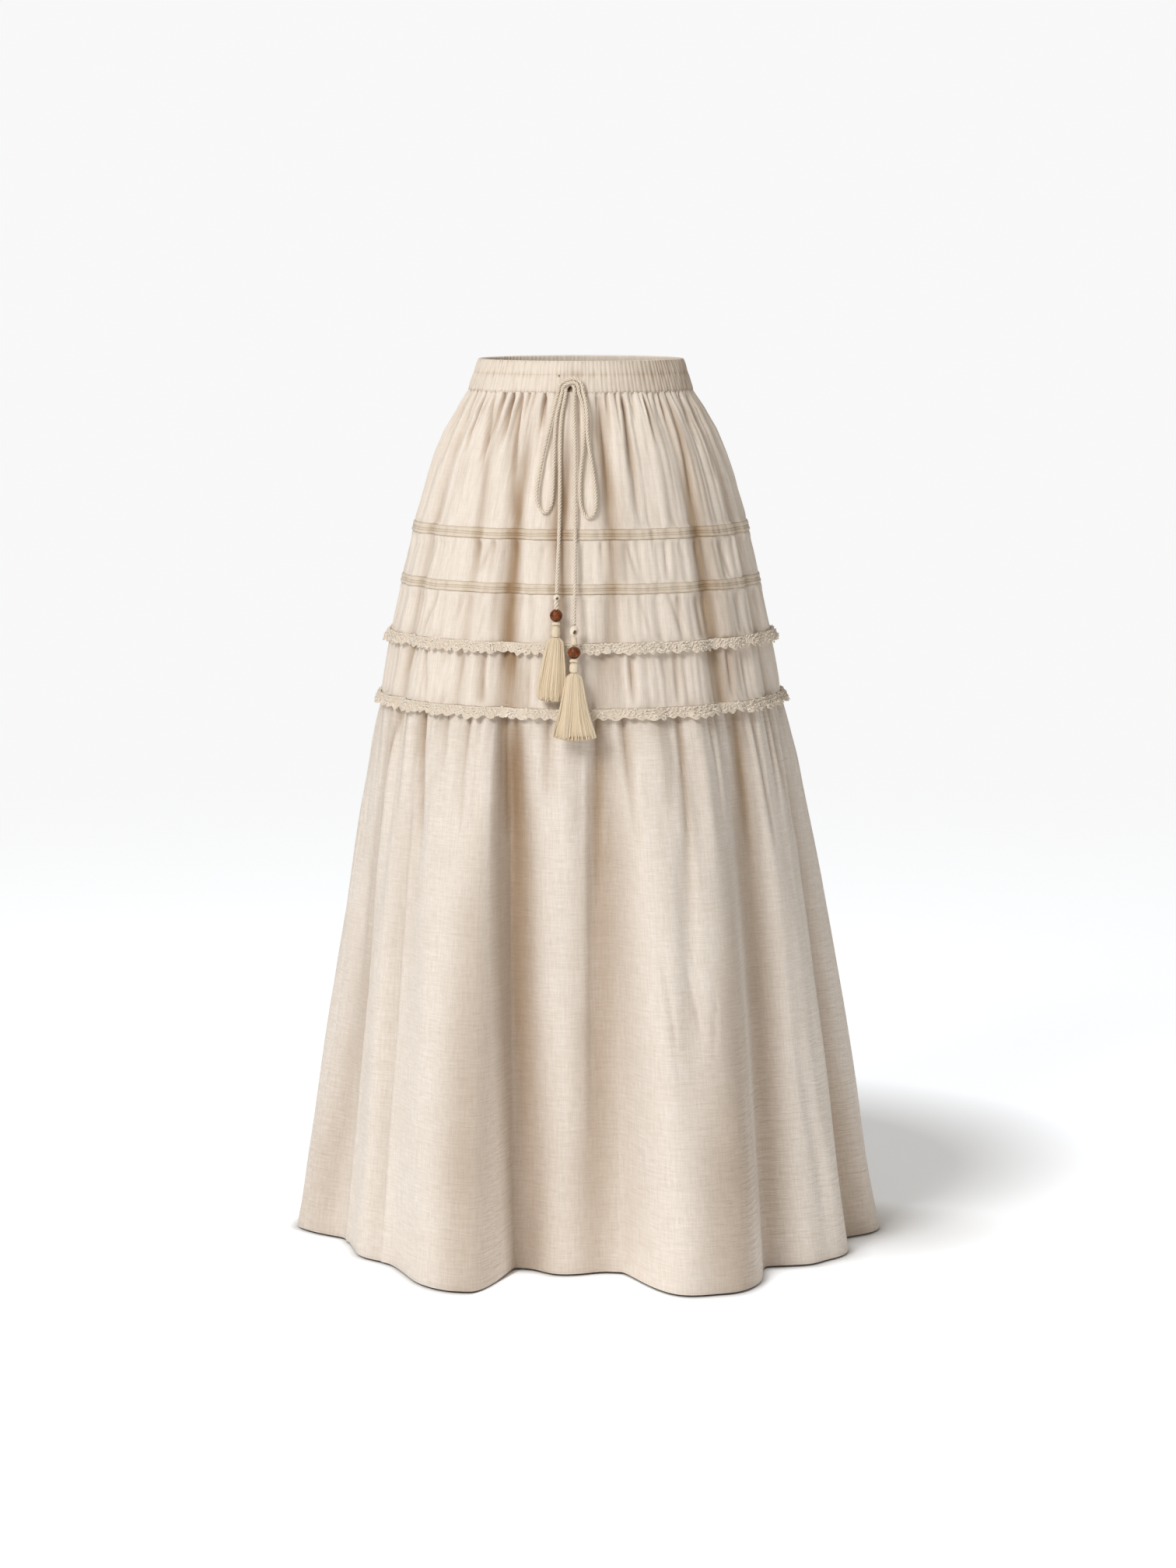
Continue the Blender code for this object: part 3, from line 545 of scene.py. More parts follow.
def make_waistband():
    """The gathered elastic casing as one closed ring."""
    angle = ring_angles(WAIST_COLUMNS)
    outer_z = np.linspace(CASING_RIM, CASING_SEAM + 0.2, 24)[:, None]
    sunk = rib_depth(angle, outer_z * np.ones_like(angle))
    outer = on_body(angle, outer_z, -sunk)
    ribbed = rib_depth(angle, np.full(angle.shape, CASING_RIM)) * 0.5
    rim = [on_ellipse(angle, *outline_at(CASING_RIM), offset - ribbed - 0.4, CASING_RIM + rise)
           for rise, offset in RIM_RINGS]
    inner_z = np.linspace(WAIST_TOP - 1.5, CASING_SEAM + 0.2, 6)[:, None]
    shallow = 0.4 * RIB_HEIGHT * (1.0 - gather_wave(angle, gather_table(RIBS, RIB_SEED)))
    inner = on_body(angle, inner_z, -RIB_HEIGHT - ELASTIC - shallow)
    section = np.concatenate((inner[::-1], np.concatenate(rim[::-1]), outer, inner[-1:]))
    down = arc_length(section[:, 0])
    folds = np.zeros(section.shape[:2])
    # Painted shade: darker in the valleys of the ribs and on the right side, away from the key light, with a
    # painted shadow in the pucker behind the bow.
    right_side_shade = np.interp(turned_by(angle, 0.0), (5.0, 45.0, 85.0, 130.0), (0.0, 0.3, 0.3, 0.0))
    ribs = np.clip((sunk + WAIST_PROUD) / 2.4 - 0.3, 0.0, 1.0)
    first = len(inner) + len(rim)
    folds[first:first + len(outer)] = np.minimum(ribs + right_side_shade, 1.0) + 1.3 * hollow(angle, outer_z)
    around = arc_length(outer[len(outer) // 2])
    band = grid_mesh("gathered_waistband", section, around, -down, folds, SHADED_CASING_LINEN, closed=True)
    finish_piece(as_plain_mesh(band), "linen", "waistband")


make_waistband()

# %% [markdown]
# ## Tiers
# Each tier is a strip of cloth, longer than the seam above it and gathered into that seam. Its front
# and back meet at the side seams. The broad gathers are those of the solids. Fine pleats leave the
# seam above, and others rise from the seam below.

# %% Tables of the tiers
CLOTH = 1.0                    # thickness of the gauze with its bulk
SEAM_TUCK = 1.6                # how far a tier's top edge goes up behind the piece above it
#   name, z at top and bottom, gathers, seed, depths at top, below top and bottom, columns, rows,
#   pleats from the seam above: count, depth, reach, half width in degrees, and from the one below
TIERS = (
    ("tier_1", CASING_SEAM, TUCK_1[0], 26, 11, (0.3, 6.0, 4.0), 420, 44,
     (82, 6.8, 112.0, 1.1), (44, 1.5, 22.0, 1.6)),
    ("tier_2", TUCK_1[1], TUCK_2[0], 22, 12, (1.6, 4.4, 2.6), 360, 20,
     (84, 2.4, 34.0, 1.2), (64, 1.6, 22.0, 1.3)),
    ("tier_3", TUCK_2[1], TRIM_1_SEAM, 22, 13, (1.6, 4.4, 2.8), 360, 20,
     (84, 2.4, 36.0, 1.2), (70, 2.0, 28.0, 1.3)),
    ("tier_4", TRIM_1_SEAM, TRIM_2_SEAM, 22, 14, (1.8, 4.8, 3.0), 360, 24,
     (96, 2.8, 40.0, 1.2), (78, 2.2, 32.0, 1.3)),
)
# Ripples of each tier: how many, height and lean, for a broad and a fine layer.
TIER_RIPPLES = {
    "tier_1": ((46, 3.6, 1.0), (92, 2.4, 0.8)), "tier_2": ((50, 2.6, 1.0), (100, 2.2, 0.8)),
    "tier_3": ((52, 2.8, 1.0), (104, 2.3, 0.8)), "tier_4": ((54, 3.0, 1.0), (110, 2.4, 0.8)),
}
#   share of the ripples' height at a tier's top, a little below it and at its bottom
TIER_RIPPLE_FADE = {
    "tier_1": (0.2, 0.9, 0.55), "tier_2": (0.35, 1.0, 0.6), "tier_3": (0.35, 1.0, 0.7),
    "tier_4": (0.4, 1.0, 0.7),
}
SEAT = 4.5                     # the pleats reach their depth this far from a seam
# What the depths of the creases below are multiplied by.
CREASE_STRENGTH = {"tier_1": 1.5, "tier_2": 1.1, "tier_3": 1.1, "tier_4": 1.2}
# Creases listed one by one: z and angle at the start, z and angle at the end, half width in degrees,
# depth, share of the length over which it comes in, share over which it fades out.
TIER_CREASES = {
    "tier_1": (
        (-19, -77, -100, -70, 3.2, 7.5, 0.02, 0.7), (-19, -57, -85, -54, 2.2, 6.0, 0.2, 0.8),
        (-19, -48.5, -115, -41, 2.2, 4.2, 0.2, 0.7), (-19, -66, -60, -64, 1.8, 4.0, 0.02, 0.9),
        (-19, -35.8, -75, -34, 1.9, 5.1, 0.2, 0.8), (-40, -31, -163, -24, 4.6, 3.4, 0.5, 0.3),
        (-19, -30.6, -110, -27, 1.8, 4.6, 0.2, 0.7), (-19, -42, -60, -41, 1.4, 3.2, 0.02, 0.9),
        (-19, -17.8, -62, -16.5, 2.0, 4.6, 0.2, 0.8), (-19, 8.5, -150, 11, 3.2, 3.0, 0.05, 0.6),
        (-19, 21.4, -110, 19.5, 2.4, 4.6, 0.2, 0.7), (-19, 25, -50, 26, 1.4, 2.0, 0.05, 0.9),
        (-19, 33, -75, 33, 1.7, 4.1, 0.2, 0.8), (-19, 48.5, -150, 45.5, 2.4, 3.1, 0.1, 0.6),
        (-19, 39.5, -50, 39, 1.3, 2.6, 0.02, 0.9), (-19, 59, -80, 58, 1.9, 3.6, 0.2, 0.8),
        (-19, 68, -120, 62, 2.8, 3.6, 0.05, 0.9),
        (-60, -12, -150, -6, 3.2, 2.2, 0.4, 0.6), (-50, 22, -160, 20, 4.0, 2.2, 0.4, 0.5),
        (-19, 104, -110, 100, 3.0, 4.0, 0.05, 0.9), (-19, 128, -90, 131, 2.4, 4.2, 0.05, 0.9),
        (-19, 150, -120, 147, 3.0, 4.2, 0.05, 0.9), (-19, 171, -80, 173, 2.2, 3.6, 0.05, 0.9),
        (-19, 196, -150, 193, 3.4, 4.4, 0.05, 0.6), (-19, 214, -85, 217, 2.4, 4.0, 0.05, 0.9),
        (-19, 238, -110, 235, 2.8, 3.8, 0.05, 0.9), (-60, 160, -160, 163, 4.0, 2.6, 0.4, 0.5),
    ),
    "tier_2": (
        (-175, -59, -222, -62, 2.0, 2.4, 0.1, 0.7), (-175, -47, -218, -51, 1.8, 2.2, 0.1, 0.7),
        (-175, -31, -215, -36, 2.6, 3.2, 0.05, 0.5), (-175, -12, -205, -13, 1.6, 1.6, 0.05, 0.9),
        (-175, 16, -222, 19, 1.6, 2.2, 0.05, 0.5), (-175, 30, -222, 29, 1.8, 1.8, 0.05, 0.5),
        (-175, 55, -222, 58, 2.2, 2.2, 0.05, 0.5), (-175, 122, -222, 119, 2.2, 2.6, 0.05, 0.5),
        (-175, 152, -215, 155, 2.2, 2.4, 0.05, 0.7), (-175, 204, -222, 201, 2.2, 2.6, 0.05, 0.5),
        (-175, 231, -218, 234, 2.0, 2.4, 0.05, 0.7),
    ),
    "tier_3": (
        (-233, -52, -284, -58, 2.2, 2.8, 0.05, 0.4), (-233, -40, -270, -43, 1.8, 2.4, 0.05, 0.8),
        (-245, -31, -284, -33, 2.0, 2.0, 0.3, 0.2), (-233, 19, -275, 21, 1.6, 2.0, 0.05, 0.7),
        (-233, 29, -284, 33, 2.0, 2.2, 0.05, 0.3), (-233, 60, -284, 57, 2.2, 2.4, 0.05, 0.4),
        (-233, 125, -284, 128, 2.2, 2.6, 0.05, 0.4), (-233, 156, -275, 153, 2.0, 2.4, 0.05, 0.7),
        (-233, 200, -284, 204, 2.2, 2.6, 0.05, 0.4), (-233, 228, -280, 226, 2.0, 2.4, 0.05, 0.6),
    ),
    "tier_4": (
        (-285, -62, -340, -66, 2.0, 2.4, 0.05, 0.7), (-285, -54, -354, -50, 1.8, 2.6, 0.05, 0.4),
        (-285, -44, -330, -46, 1.6, 2.2, 0.05, 0.8), (-288, -30.5, -354, -29, 2.6, 4.6, 0.1, 0.2),
        (-285, 14.5, -354, 15.5, 2.0, 3.8, 0.05, 0.4), (-285, 24, -335, 26, 1.6, 1.2, 0.05, 0.7),
        (-285, 29.5, -354, 29.0, 2.0, 3.4, 0.05, 0.4), (-285, 50, -354, 49, 2.2, 2.8, 0.05, 0.4),
        (-285, 121, -354, 124, 2.2, 2.6, 0.05, 0.4), (-285, 154, -340, 151, 2.0, 2.4, 0.05, 0.7),
        (-285, 198, -354, 202, 2.2, 2.6, 0.05, 0.4), (-285, 226, -345, 229, 2.0, 2.4, 0.05, 0.6),
    ),
}
print("Creases placed by hand on the tiers:", sum(len(rows) for rows in TIER_CREASES.values()))

# %% Depth of the tiers
def seam_depth(angle):
    """How far a sewn seam lies under the outline: the line that the pieces on both sides share."""
    level = np.zeros_like(angle)
    return 1.2 + ripples(angle, level, ((60, 1.8, 0.0), (116, 1.0, 0.0)), 57)


def off_seam(away):
    """0 on a seam and 1 where the cloth is free of it."""
    share = np.clip(away / SEAT, 0.0, 1.0)
    return share * (2.0 - share)


def tier_depth(tier, angle, z):
    """How far a tier lies under the outline, how deep its pleats are, and how deep where they are free."""
    name, top, bottom, count, seed, depths, _, _, from_top, from_bottom = tier
    down = (top - z) / (top - bottom)
    depth = np.interp(down, (0.0, 0.22, 1.0), depths)
    wave = gather_wave(angle * np.ones_like(z), gather_table(count, seed))
    number, deep, reach, wide = from_top
    fine = pleats(angle, top - z, number, seed + 20, deep, reach, wide)
    number, deep, reach, wide = from_bottom
    fine = fine + pleats(angle, z - bottom, number, seed + 40, deep, reach, wide)
    fine = fine + CREASE_STRENGTH[name] * creases(angle, z, TIER_CREASES[name])
    swell = unrest(angle, z, seed + 60, ((9.0, 30.0), (60.0, 200.0)), 0.5)
    fade = np.interp(down, (0.0, 0.12, 1.0), TIER_RIPPLE_FADE[name])
    fine = fine + ripples(angle, z, TIER_RIPPLES[name], seed + 80) * fade
    at_seam = seam_depth(angle)
    at_top = np.minimum(0.4 + 0.3 * fine, 2.6) if name == "tier_1" else at_seam
    below, above = off_seam(top - z), off_seam(z - bottom)
    sunk = at_seam + (depth * (1.0 - wave) + fine + swell - at_seam) * above
    sunk = at_top + (sunk - at_top) * below
    return valley_depth(angle, z) + sunk, fine, fine * above * below


# %% Shades of the valleys
VALLEY_SHADE = 0.5
# Shades of the front valleys: lines of height, angle, reach to the left and right, and darkness.
TIER_SHADES = (
    ((-60, -24, 3.0, 3.0, 0.0), (-100, -24, 5.0, 4.0, 0.15), (-155, -23.6, 6.5, 4.5, 0.3),
     (-189, -23.2, 9.0, 5.5, 0.45), (-255, -23.0, 10.0, 6.0, 0.45), (-322, -19.5, 7.0, 8.0, 0.62),
     (-360, -18.5, 6.0, 8.0, 0.55)),
    ((-45, -6, 4.0, 2.5, 0.0), (-70, -6, 5.0, 4.0, 0.4), (-100, -6, 6.0, 4.5, 0.7),
     (-155, -6.8, 9.0, 5.0, 0.8), (-189, -6.5, 7.0, 5.0, 0.75), (-235, -6.3, 6.0, 5.0, 0.6),
     (-290, -7, 5.0, 4.0, 0.35), (-360, -6, 4.0, 4.0, 0.4)),
    ((-35, 6.5, 2.5, 2.5, 0.0), (-60, 7, 3.0, 3.5, 0.4), (-100, 8, 4.0, 8.0, 0.46),
     (-155, 10.5, 5.0, 11.0, 0.48), (-189, 11.0, 5.0, 8.0, 0.4), (-255, 9, 5.0, 8.0, 0.3),
     (-322, 6, 6.0, 7.0, 0.35), (-360, 4, 6.0, 6.0, 0.4)),
    ((-25, 47, 2.5, 3.0, 0.0), (-50, 47, 3.0, 7.0, 0.34), (-100, 45.6, 3.5, 12.0, 0.34),
     (-155, 43.5, 4.5, 17.0, 0.45), (-189, 43.2, 5.0, 17.0, 0.45), (-255, 43.0, 6.0, 17.0, 0.46),
     (-322, 43.5, 6.5, 16.0, 0.42), (-360, 43, 6.0, 14.0, 0.42)),
    ((-60, -38, 2.0, 2.0, 0.0), (-97, -39, 3.5, 3.5, 0.3), (-155, -38.5, 4.0, 4.0, 0.22),
     (-189, -38, 3.5, 3.5, 0.22), (-230, -38, 3.0, 3.0, 0.0)),
)


def valley_shade(angle, z):
    """Shade of the valleys that run down through all the tiers, 1 in the darkest."""
    shade = sum(deep / 9.0 * hill(turned_by(angle, middle), 0.62 * spread)
                for middle, spread, deep in VALLEYS)
    shade = VALLEY_SHADE * shade * np.interp(-z, (40.0, 130.0), (0.25, 1.0))
    return shade + shades(angle, z, TIER_SHADES)


def pleat_shade(fine):
    """Shade in the depth of pleats and creases."""
    return 0.62 * np.clip(fine / 6.0 - 0.25, 0.0, 1.0)


print("Lines of shade down the tiers' front:", len(TIER_SHADES))

# %% Make the tiers
SIDE_EASE = 3.3                # the gathered cloth stands a little wider than the solids at the sides
SIDE_SEAM = (0.8, 0.5)         # half width in degrees and depth of the line of a side seam


def side_ease(angle, z):
    """How far the cloth stands out at the two sides of the tiers."""
    share = np.interp(-z, (19.0, 60.0, 300.0, 354.0), (0, 1, 1, 0))
    return SIDE_EASE * np.sin(np.radians(angle)) ** 4 * share


def side_seam(angle):
    """The cloth draws in along both side seams."""
    width, depth = SIDE_SEAM
    away = np.minimum(np.abs(turned_by(angle, -90.0)), np.abs(turned_by(angle, 90.0)))
    return depth * hill(away, width)


def make_tier(tier):
    """Front and back of one tier."""
    name, top, bottom, _, _, _, columns, rows, _, _ = tier
    z = np.linspace(top + SEAM_TUCK, bottom - SEAM_GAP, rows)[:, None]
    tuck = np.clip((z - (top - SEAM_TUCK)) / (2.0 * SEAM_TUCK), 0.0, 1.0)
    tuck = tuck * (0.3 if name == "tier_1" else 1.5)
    for part, start, end in HALVES:
        angle = np.linspace(start, end, columns + 1)[None, :]
        sunk, fine, _ = tier_depth(tier, angle, z)
        points = on_body(angle, z, side_ease(angle, z) - sunk - tuck - side_seam(angle))
        folds = np.minimum(pleat_shade(fine) + valley_shade(angle, z), 1.0)
        middle = arc_length(points[rows // 2])
        sheet = grid_mesh(f"{name}_{part}_cloth", points, middle - 400.0, z[:, 0], folds, LINEN)
        piece = finish_piece(thicken(sheet, CLOTH), "linen", f"{name}_{part}")


for tier in TIERS:
    make_tier(tier)

# %% [markdown]
# ## Tuck bands
# Two narrow bands part the upper tiers. Each has three tucks sewn over cord, with open stitched lines
# between them. The section has a groove for each line and a rounded crown for each tuck, and the lines
# wander a little, because hands fed the cloth through the machine.

# %% Tuck bands
#   share of the band's height from its top, height of the crown or depth of the line
BAND_SECTION = (
    (0.0, -0.9), (0.05, -0.4), (0.12, -0.05), (0.22, 0.1), (0.34, -0.05), (0.4, -0.4), (0.44, -0.6),
    (0.48, -0.35), (0.54, -0.2), (0.6, -0.35), (0.64, -0.6), (0.68, -0.3), (0.75, 0.1), (0.82, 0.15),
    (0.89, -0.05), (0.95, -0.45), (1.0, -0.9),
)
BAND_COLUMNS = 560
BAND_WALL = 1.6
BAND_PROUD = 0.9               # the band stands out over the seams on both sides


def band_crown_fold(crown):
    """Shade of the sewn lines: 1 in a line and 0 on a crown."""
    return np.clip((-0.2 - crown) / 0.7, 0.0, 1.0)


def make_tuck_band(name, top, bottom, seed):
    """One corded band as a closed ring."""
    angle = ring_angles(BAND_COLUMNS)
    share, crown = (np.array(column)[:, None] for column in zip(*BAND_SECTION))
    wander = unrest(angle, np.zeros((1, 1)), seed, ((14.0, 50.0), (1.0, 2.0)), 0.35)
    z = top - SEAM_GAP / 2 + (bottom - top + SEAM_GAP) * share + wander * np.sin(np.pi * share)
    dents = pleats(angle, np.zeros_like(z), 70, seed + 1, 1.1, 50.0, 1.4)
    dented = dents * (1.0 - 0.7 * np.abs(2.0 * share - 1.0))
    sunk = valley_depth(angle, z) + seam_depth(angle) - BAND_PROUD - crown + dented
    outer = on_body(angle, z, side_ease(angle, z) - sunk)
    back_z = np.array((bottom + SEAM_GAP, top - SEAM_GAP))[:, None]
    inner = on_body(angle, back_z, -(valley_depth(angle, back_z) + seam_depth(angle) + BAND_WALL))
    section = np.concatenate((inner[-1:], outer, inner))
    folds = np.zeros(section.shape[:2])
    shade = band_crown_fold(crown) * 0.75 + 0.2 * np.clip(dents, 0.0, 1.0)
    folds[1:1 + len(share)] = np.minimum(shade + valley_shade(angle, z), 1.0)
    down = arc_length(section[:, 0])
    around = arc_length(outer[len(outer) // 2])
    band = grid_mesh(f"corded_{name}", section, around, -down, folds, TUCK_LINEN, closed=True)
    finish_piece(as_plain_mesh(band), "tuck_linen", name)


make_tuck_band("tuck_band_1", *TUCK_1, seed=51)
make_tuck_band("tuck_band_2", *TUCK_2, seed=55)

# %% [markdown]
# ## Flounce
# The flounce is a strip of linen about two and a half metres round, gathered into the last seam. Its
# weight pulls it into a dozen large folds that widen down to the hem. A fold hangs over a little to
# one side, so its far flank is hidden: the swing moves the crest along the ellipse. The solids have
# nearly the same folds, and creases, pleats and the turned-up hem are added here.

# %% Tables of the flounce
FLOUNCE_GATHERS = 22
FLOUNCE_SEED = 15
GATHER_DEPTH = 5.0
GATHER_FADE = 0.45
VALLEY_FADE = 0.4
HEM_HALF_WIDTH = 288.0
HEM_HALF_DEPTH = 196.0
HEM_SHIFT = 9.0
FAN = 6.0
FOLD_GROWTH = 0.8
#   crest, spread to the left and right, height at the hem, steepness of the left and right flank,
#   swing of the crest to the right at the hem
FOLDS = (
    (-100.0, 17.0, 24.0, 52.0, 1.2, 1.3, 0.0),
    (-52.0, 19.0, 30.0, 26.0, 1.0, 1.0, 0.0),
    (-25.3, 23.5, 8.3, 98.0, 1.0, 2.5, 7.0),
    (-4.0, 9.0, 9.0, 9.0, 1.0, 1.0, 0.0),
    (21.0, 14.0, 19.5, 108.0, 2.5, 1.6, 9.0),
    (53.0, 25.0, 27.0, 42.0, 1.3, 1.5, 6.0),
    (97.0, 26.0, 14.0, 48.0, 1.3, 1.6, 0.0),
    (124.0, 14.0, 13.0, 62.0, 1.6, 1.8, 4.0),
    (150.0, 14.0, 12.0, 92.0, 1.4, 2.2, 6.0),
    (176.0, 12.0, 11.0, 66.0, 1.8, 1.5, -4.0),
    (201.0, 12.0, 15.0, 98.0, 2.2, 1.3, -6.0),
    (230.0, 14.0, 13.0, 58.0, 1.6, 1.6, 0.0),
)
# Creases of the flounce, in the same columns as those of the tiers.
FLOUNCE_CREASES = (
    (-354, -19, -520, -18, 2.4, 5.0, 0.02, 0.9), (-354, -28, -520, -27, 2.0, 4.6, 0.02, 0.9),
    (-354, -7.7, -480, -8, 1.7, 5.4, 0.02, 0.9), (-354, 3.4, -620, 3, 2.4, 5.0, 0.02, 0.8),
    (-354, 9.8, -500, 11, 1.8, 5.6, 0.02, 0.8), (-354, 23.3, -600, 21, 1.6, 4.2, 0.02, 0.8),
    (-354, 32, -460, 33, 1.3, 3.0, 0.02, 0.9), (-354, 45, -560, 44, 2.8, 5.0, 0.02, 0.8),
    (-354, 51, -520, 53, 2.0, 4.6, 0.02, 0.9), (-354, 66, -560, 69, 2.4, 5.0, 0.02, 0.8),
    (-354, -45, -540, -41, 2.2, 5.6, 0.02, 0.8), (-354, -60, -500, -70, 2.4, 5.0, 0.02, 0.8),
    (-354, -35, -440, -34, 1.6, 3.4, 0.02, 0.9), (-354, -52, -430, -53, 1.6, 3.6, 0.02, 0.9),
    (-354, 60, -440, 60, 1.8, 3.6, 0.02, 0.9), (-600, 14, -760, 16.5, 1.1, 2.6, 0.5, 0.5),
    (-620, 19, -730, 21.5, 0.9, 2.4, 0.5, 0.5), (-640, 25, -740, 23, 0.8, 2.0, 0.5, 0.5),
    (-354, 101, -560, 103, 2.6, 5.6, 0.02, 0.8), (-354, 116, -500, 114, 2.2, 4.6, 0.02, 0.9),
    (-354, 136, -560, 137, 2.6, 5.6, 0.02, 0.8), (-354, 150, -480, 149, 2.0, 4.4, 0.02, 0.9),
    (-354, 164, -560, 163, 2.6, 5.6, 0.02, 0.8), (-354, 178, -480, 180, 2.0, 4.0, 0.02, 0.9),
    (-354, 189, -580, 188, 2.6, 5.6, 0.02, 0.8), (-354, 203, -500, 204, 2.0, 4.4, 0.02, 0.9),
    (-354, 216, -560, 217, 2.6, 5.6, 0.02, 0.8), (-354, 231, -500, 229, 2.2, 4.6, 0.02, 0.9),
    (-354, 246, -560, 248, 2.6, 5.6, 0.02, 0.8),
)
# Broad soft hollows between the large folds, in the same columns.
FLOUNCE_HOLLOWS = (
    (-480, 21, -760, 19, 3.4, 4.0, 0.3, 0.6), (-354, 45, -1100, 41.0, 8.0, 8.0, 0.02, 0.5),
    (-400, 4, -1100, 0, 8.0, 6.0, 0.2, 0.4),
    (-420, -41, -760, -44, 5.0, 4.0, 0.3, 0.6), (-700, 52, -960, 56, 4.0, 4.0, 0.5, 0.5),
    (-500, -30, -900, -32, 4.0, 3.0, 0.4, 0.5), (-600, 10, -980, 9, 4.0, 3.0, 0.4, 0.4),
    (-360, 84, -900, 88, 24.0, -4.2, 0.15, 0.6), (-480, -84, -900, -88, 24.0, 3.6, 0.4, 0.5),
    (-356, 28, -540, 28, 3.8, -4.6, 0.1, 0.6), (-356, 18, -480, 18, 3.4, -4.0, 0.1, 0.7),
    (-356, 35.5, -520, 34.5, 3.0, -2.6, 0.15, 0.6),
    (-500, 124, -960, 122, 4.0, 4.0, 0.4, 0.5), (-500, 202, -960, 200, 4.0, 4.0, 0.4, 0.5),
)
# Overhanging folds: each has a crisp edge on one side and runs out softly on the other. Height and
# angle at the start and the end, reach of the soft side in degrees (below 0 towards the left), depth,
# shares of the length over which it comes in and fades out, and how dark the painted shade beside it is.
OVERHANGS = (
    (-354, -20, -1200, -16, 10, 12, 0.12, 0.3, 0.5), (-440, -46, -1100, -50, -8, 5, 0.3, 0.4, 0.2),
    (-390, 2, -900, 0.5, 6, 4, 0.1, 0.6, 0.15), (-380, -64, -1100, -77, -7, 4, 0.3, 0.4, 0.2),
    (-354, 70, -1200, 82, 9, 6, 0.1, 0.4, 0.35), (-354, 108, -1200, 107, 9, 7, 0.05, 0.3, 0.5),
    (-354, 138, -1200, 137, -8, 8, 0.05, 0.3, 0.55), (-354, 163, -1200, 164, 7, 8, 0.05, 0.3, 0.5),
    (-354, 189, -1200, 188, -7, 8, 0.05, 0.3, 0.5), (-354, 216, -1200, 217, 9, 9, 0.05, 0.3, 0.55),
    (-354, 246, -1200, 249, 8, 6, 0.05, 0.3, 0.4),
)
# Shades of the flounce's front, in the same columns as those of the tiers.
FLOUNCE_SHADES = (
    ((-354, -16.5, 4.5, 5.0, 0.45), (-390, -15.5, 4.5, 6.0, 0.45), (-516, -13.5, 5.0, 7.0, 0.52),
     (-688, -13, 6.0, 8.0, 0.4), (-861, -11, 6.0, 10.0, 0.32), (-981, -11, 5.0, 10.0, 0.26)),
    ((-450, -21, 4.0, 3.0, 0.0), (-560, -22, 8.0, 4.0, 0.32), (-688, -22, 10.0, 5.0, 0.46),
     (-861, -23, 11.0, 6.0, 0.52), (-981, -23, 10.0, 6.0, 0.42)),
    ((-354, 4.5, 3.0, 3.5, 0.3), (-390, 5.5, 4.0, 5.0, 0.32), (-516, 5.6, 9.0, 7.5, 0.54),
     (-688, 5.0, 11.0, 8.0, 0.52), (-861, 2.0, 9.0, 11.0, 0.5), (-981, 1, 9.0, 11.0, 0.38)),
    ((-354, 45, 5.0, 4.0, 0.4), (-397, 45, 5.0, 5.0, 0.45), (-520, 43.0, 9.0, 8.0, 0.62),
     (-695, 42.0, 11.0, 9.0, 0.62), (-870, 40.8, 10.0, 8.5, 0.54), (-981, 40, 9.0, 8.5, 0.46)),
    ((-450, 33, 5.0, 5.0, 0.0), (-520, 33, 6.0, 6.0, 0.18), (-605, 31, 7.0, 7.0, 0.28),
     (-690, 29, 9.0, 8.0, 0.36), (-785, 28, 10.0, 8.0, 0.5), (-861, 27, 12.0, 10.0, 0.56),
     (-981, 26, 11.0, 9.0, 0.46)),
    ((-450, 76, 8.0, 10.0, 0.0), (-605, 77, 10.0, 12.0, 0.14), (-785, 80, 10.0, 12.0, 0.18),
     (-861, 82, 11.0, 14.0, 0.26), (-981, 82, 11.0, 14.0, 0.22)),
    ((-354, -62, 5.0, 4.0, 0.12), (-397, -65.5, 7.0, 7.0, 0.16), (-540, -74, 9.0, 9.0, 0.24),
     (-720, -76, 16.0, 9.0, 0.36), (-900, -83, 15.0, 9.0, 0.42), (-981, -84, 14.0, 9.0, 0.34)),
    ((-354, -47, 3.0, 3.0, 0.2), (-397, -46, 4.0, 4.0, 0.22), (-525, -43.5, 5.0, 5.0, 0.12),
     (-700, -46, 5.0, 5.0, 0.0)),
    ((-354, 23, 2.5, 2.5, 0.3), (-390, 23.2, 2.5, 2.5, 0.36), (-458, 22.5, 3.0, 3.0, 0.26),
     (-620, 20, 3.0, 3.0, 0.0)),
    ((-370, -16, 2.5, 2.5, 0.0), (-400, -16.5, 3.0, 3.0, 0.2), (-519, -16.6, 3.0, 3.0, 0.24),
     (-691, -16.2, 3.5, 3.5, 0.16), (-778, -16, 4.0, 4.0, 0.1), (-981, -17, 6.0, 4.0, 0.1)),
    ((-560, 32, 2.5, 2.5, 0.0), (-688, 32.8, 3.0, 3.0, 0.12), (-774, 33, 3.0, 3.0, 0.18),
     (-900, 33.5, 3.5, 3.0, 0.18), (-981, 34, 4.0, 3.0, 0.1)),
    ((-640, 18, 5.0, 5.0, 0.0), (-680, 19, 7.0, 7.0, 0.14), (-780, 21, 8.0, 7.0, 0.14),
     (-981, 20, 8.0, 7.0, 0.12)),
)
FLOUNCE_RIPPLES = ((56, 4.6, 2.0), (104, 2.0, 1.0))
HEM_TURN_UP = 17.0
HEM_LAYER = 0.5
print("Large folds:", len(FOLDS), "and creases:", len(FLOUNCE_CREASES))

# %% Form of the flounce
def fold_shape(angle):
    """Height of the large folds at the hem, and how far their crests swing to the right there."""
    height = np.zeros_like(angle)
    swing = np.zeros_like(angle)
    for crest, left, right, reach, steep_left, steep_right, aside in FOLDS:
        away = turned_by(angle, crest)
        spread = np.where(away > 0, right, left)
        steep = np.where(away > 0, steep_right, steep_left)
        share = np.minimum(1.0, np.abs(away) / spread) ** steep
        rise = np.cos(0.5 * np.pi * share) ** 2
        height += reach * rise
        swing += aside * rise
    return height, swing


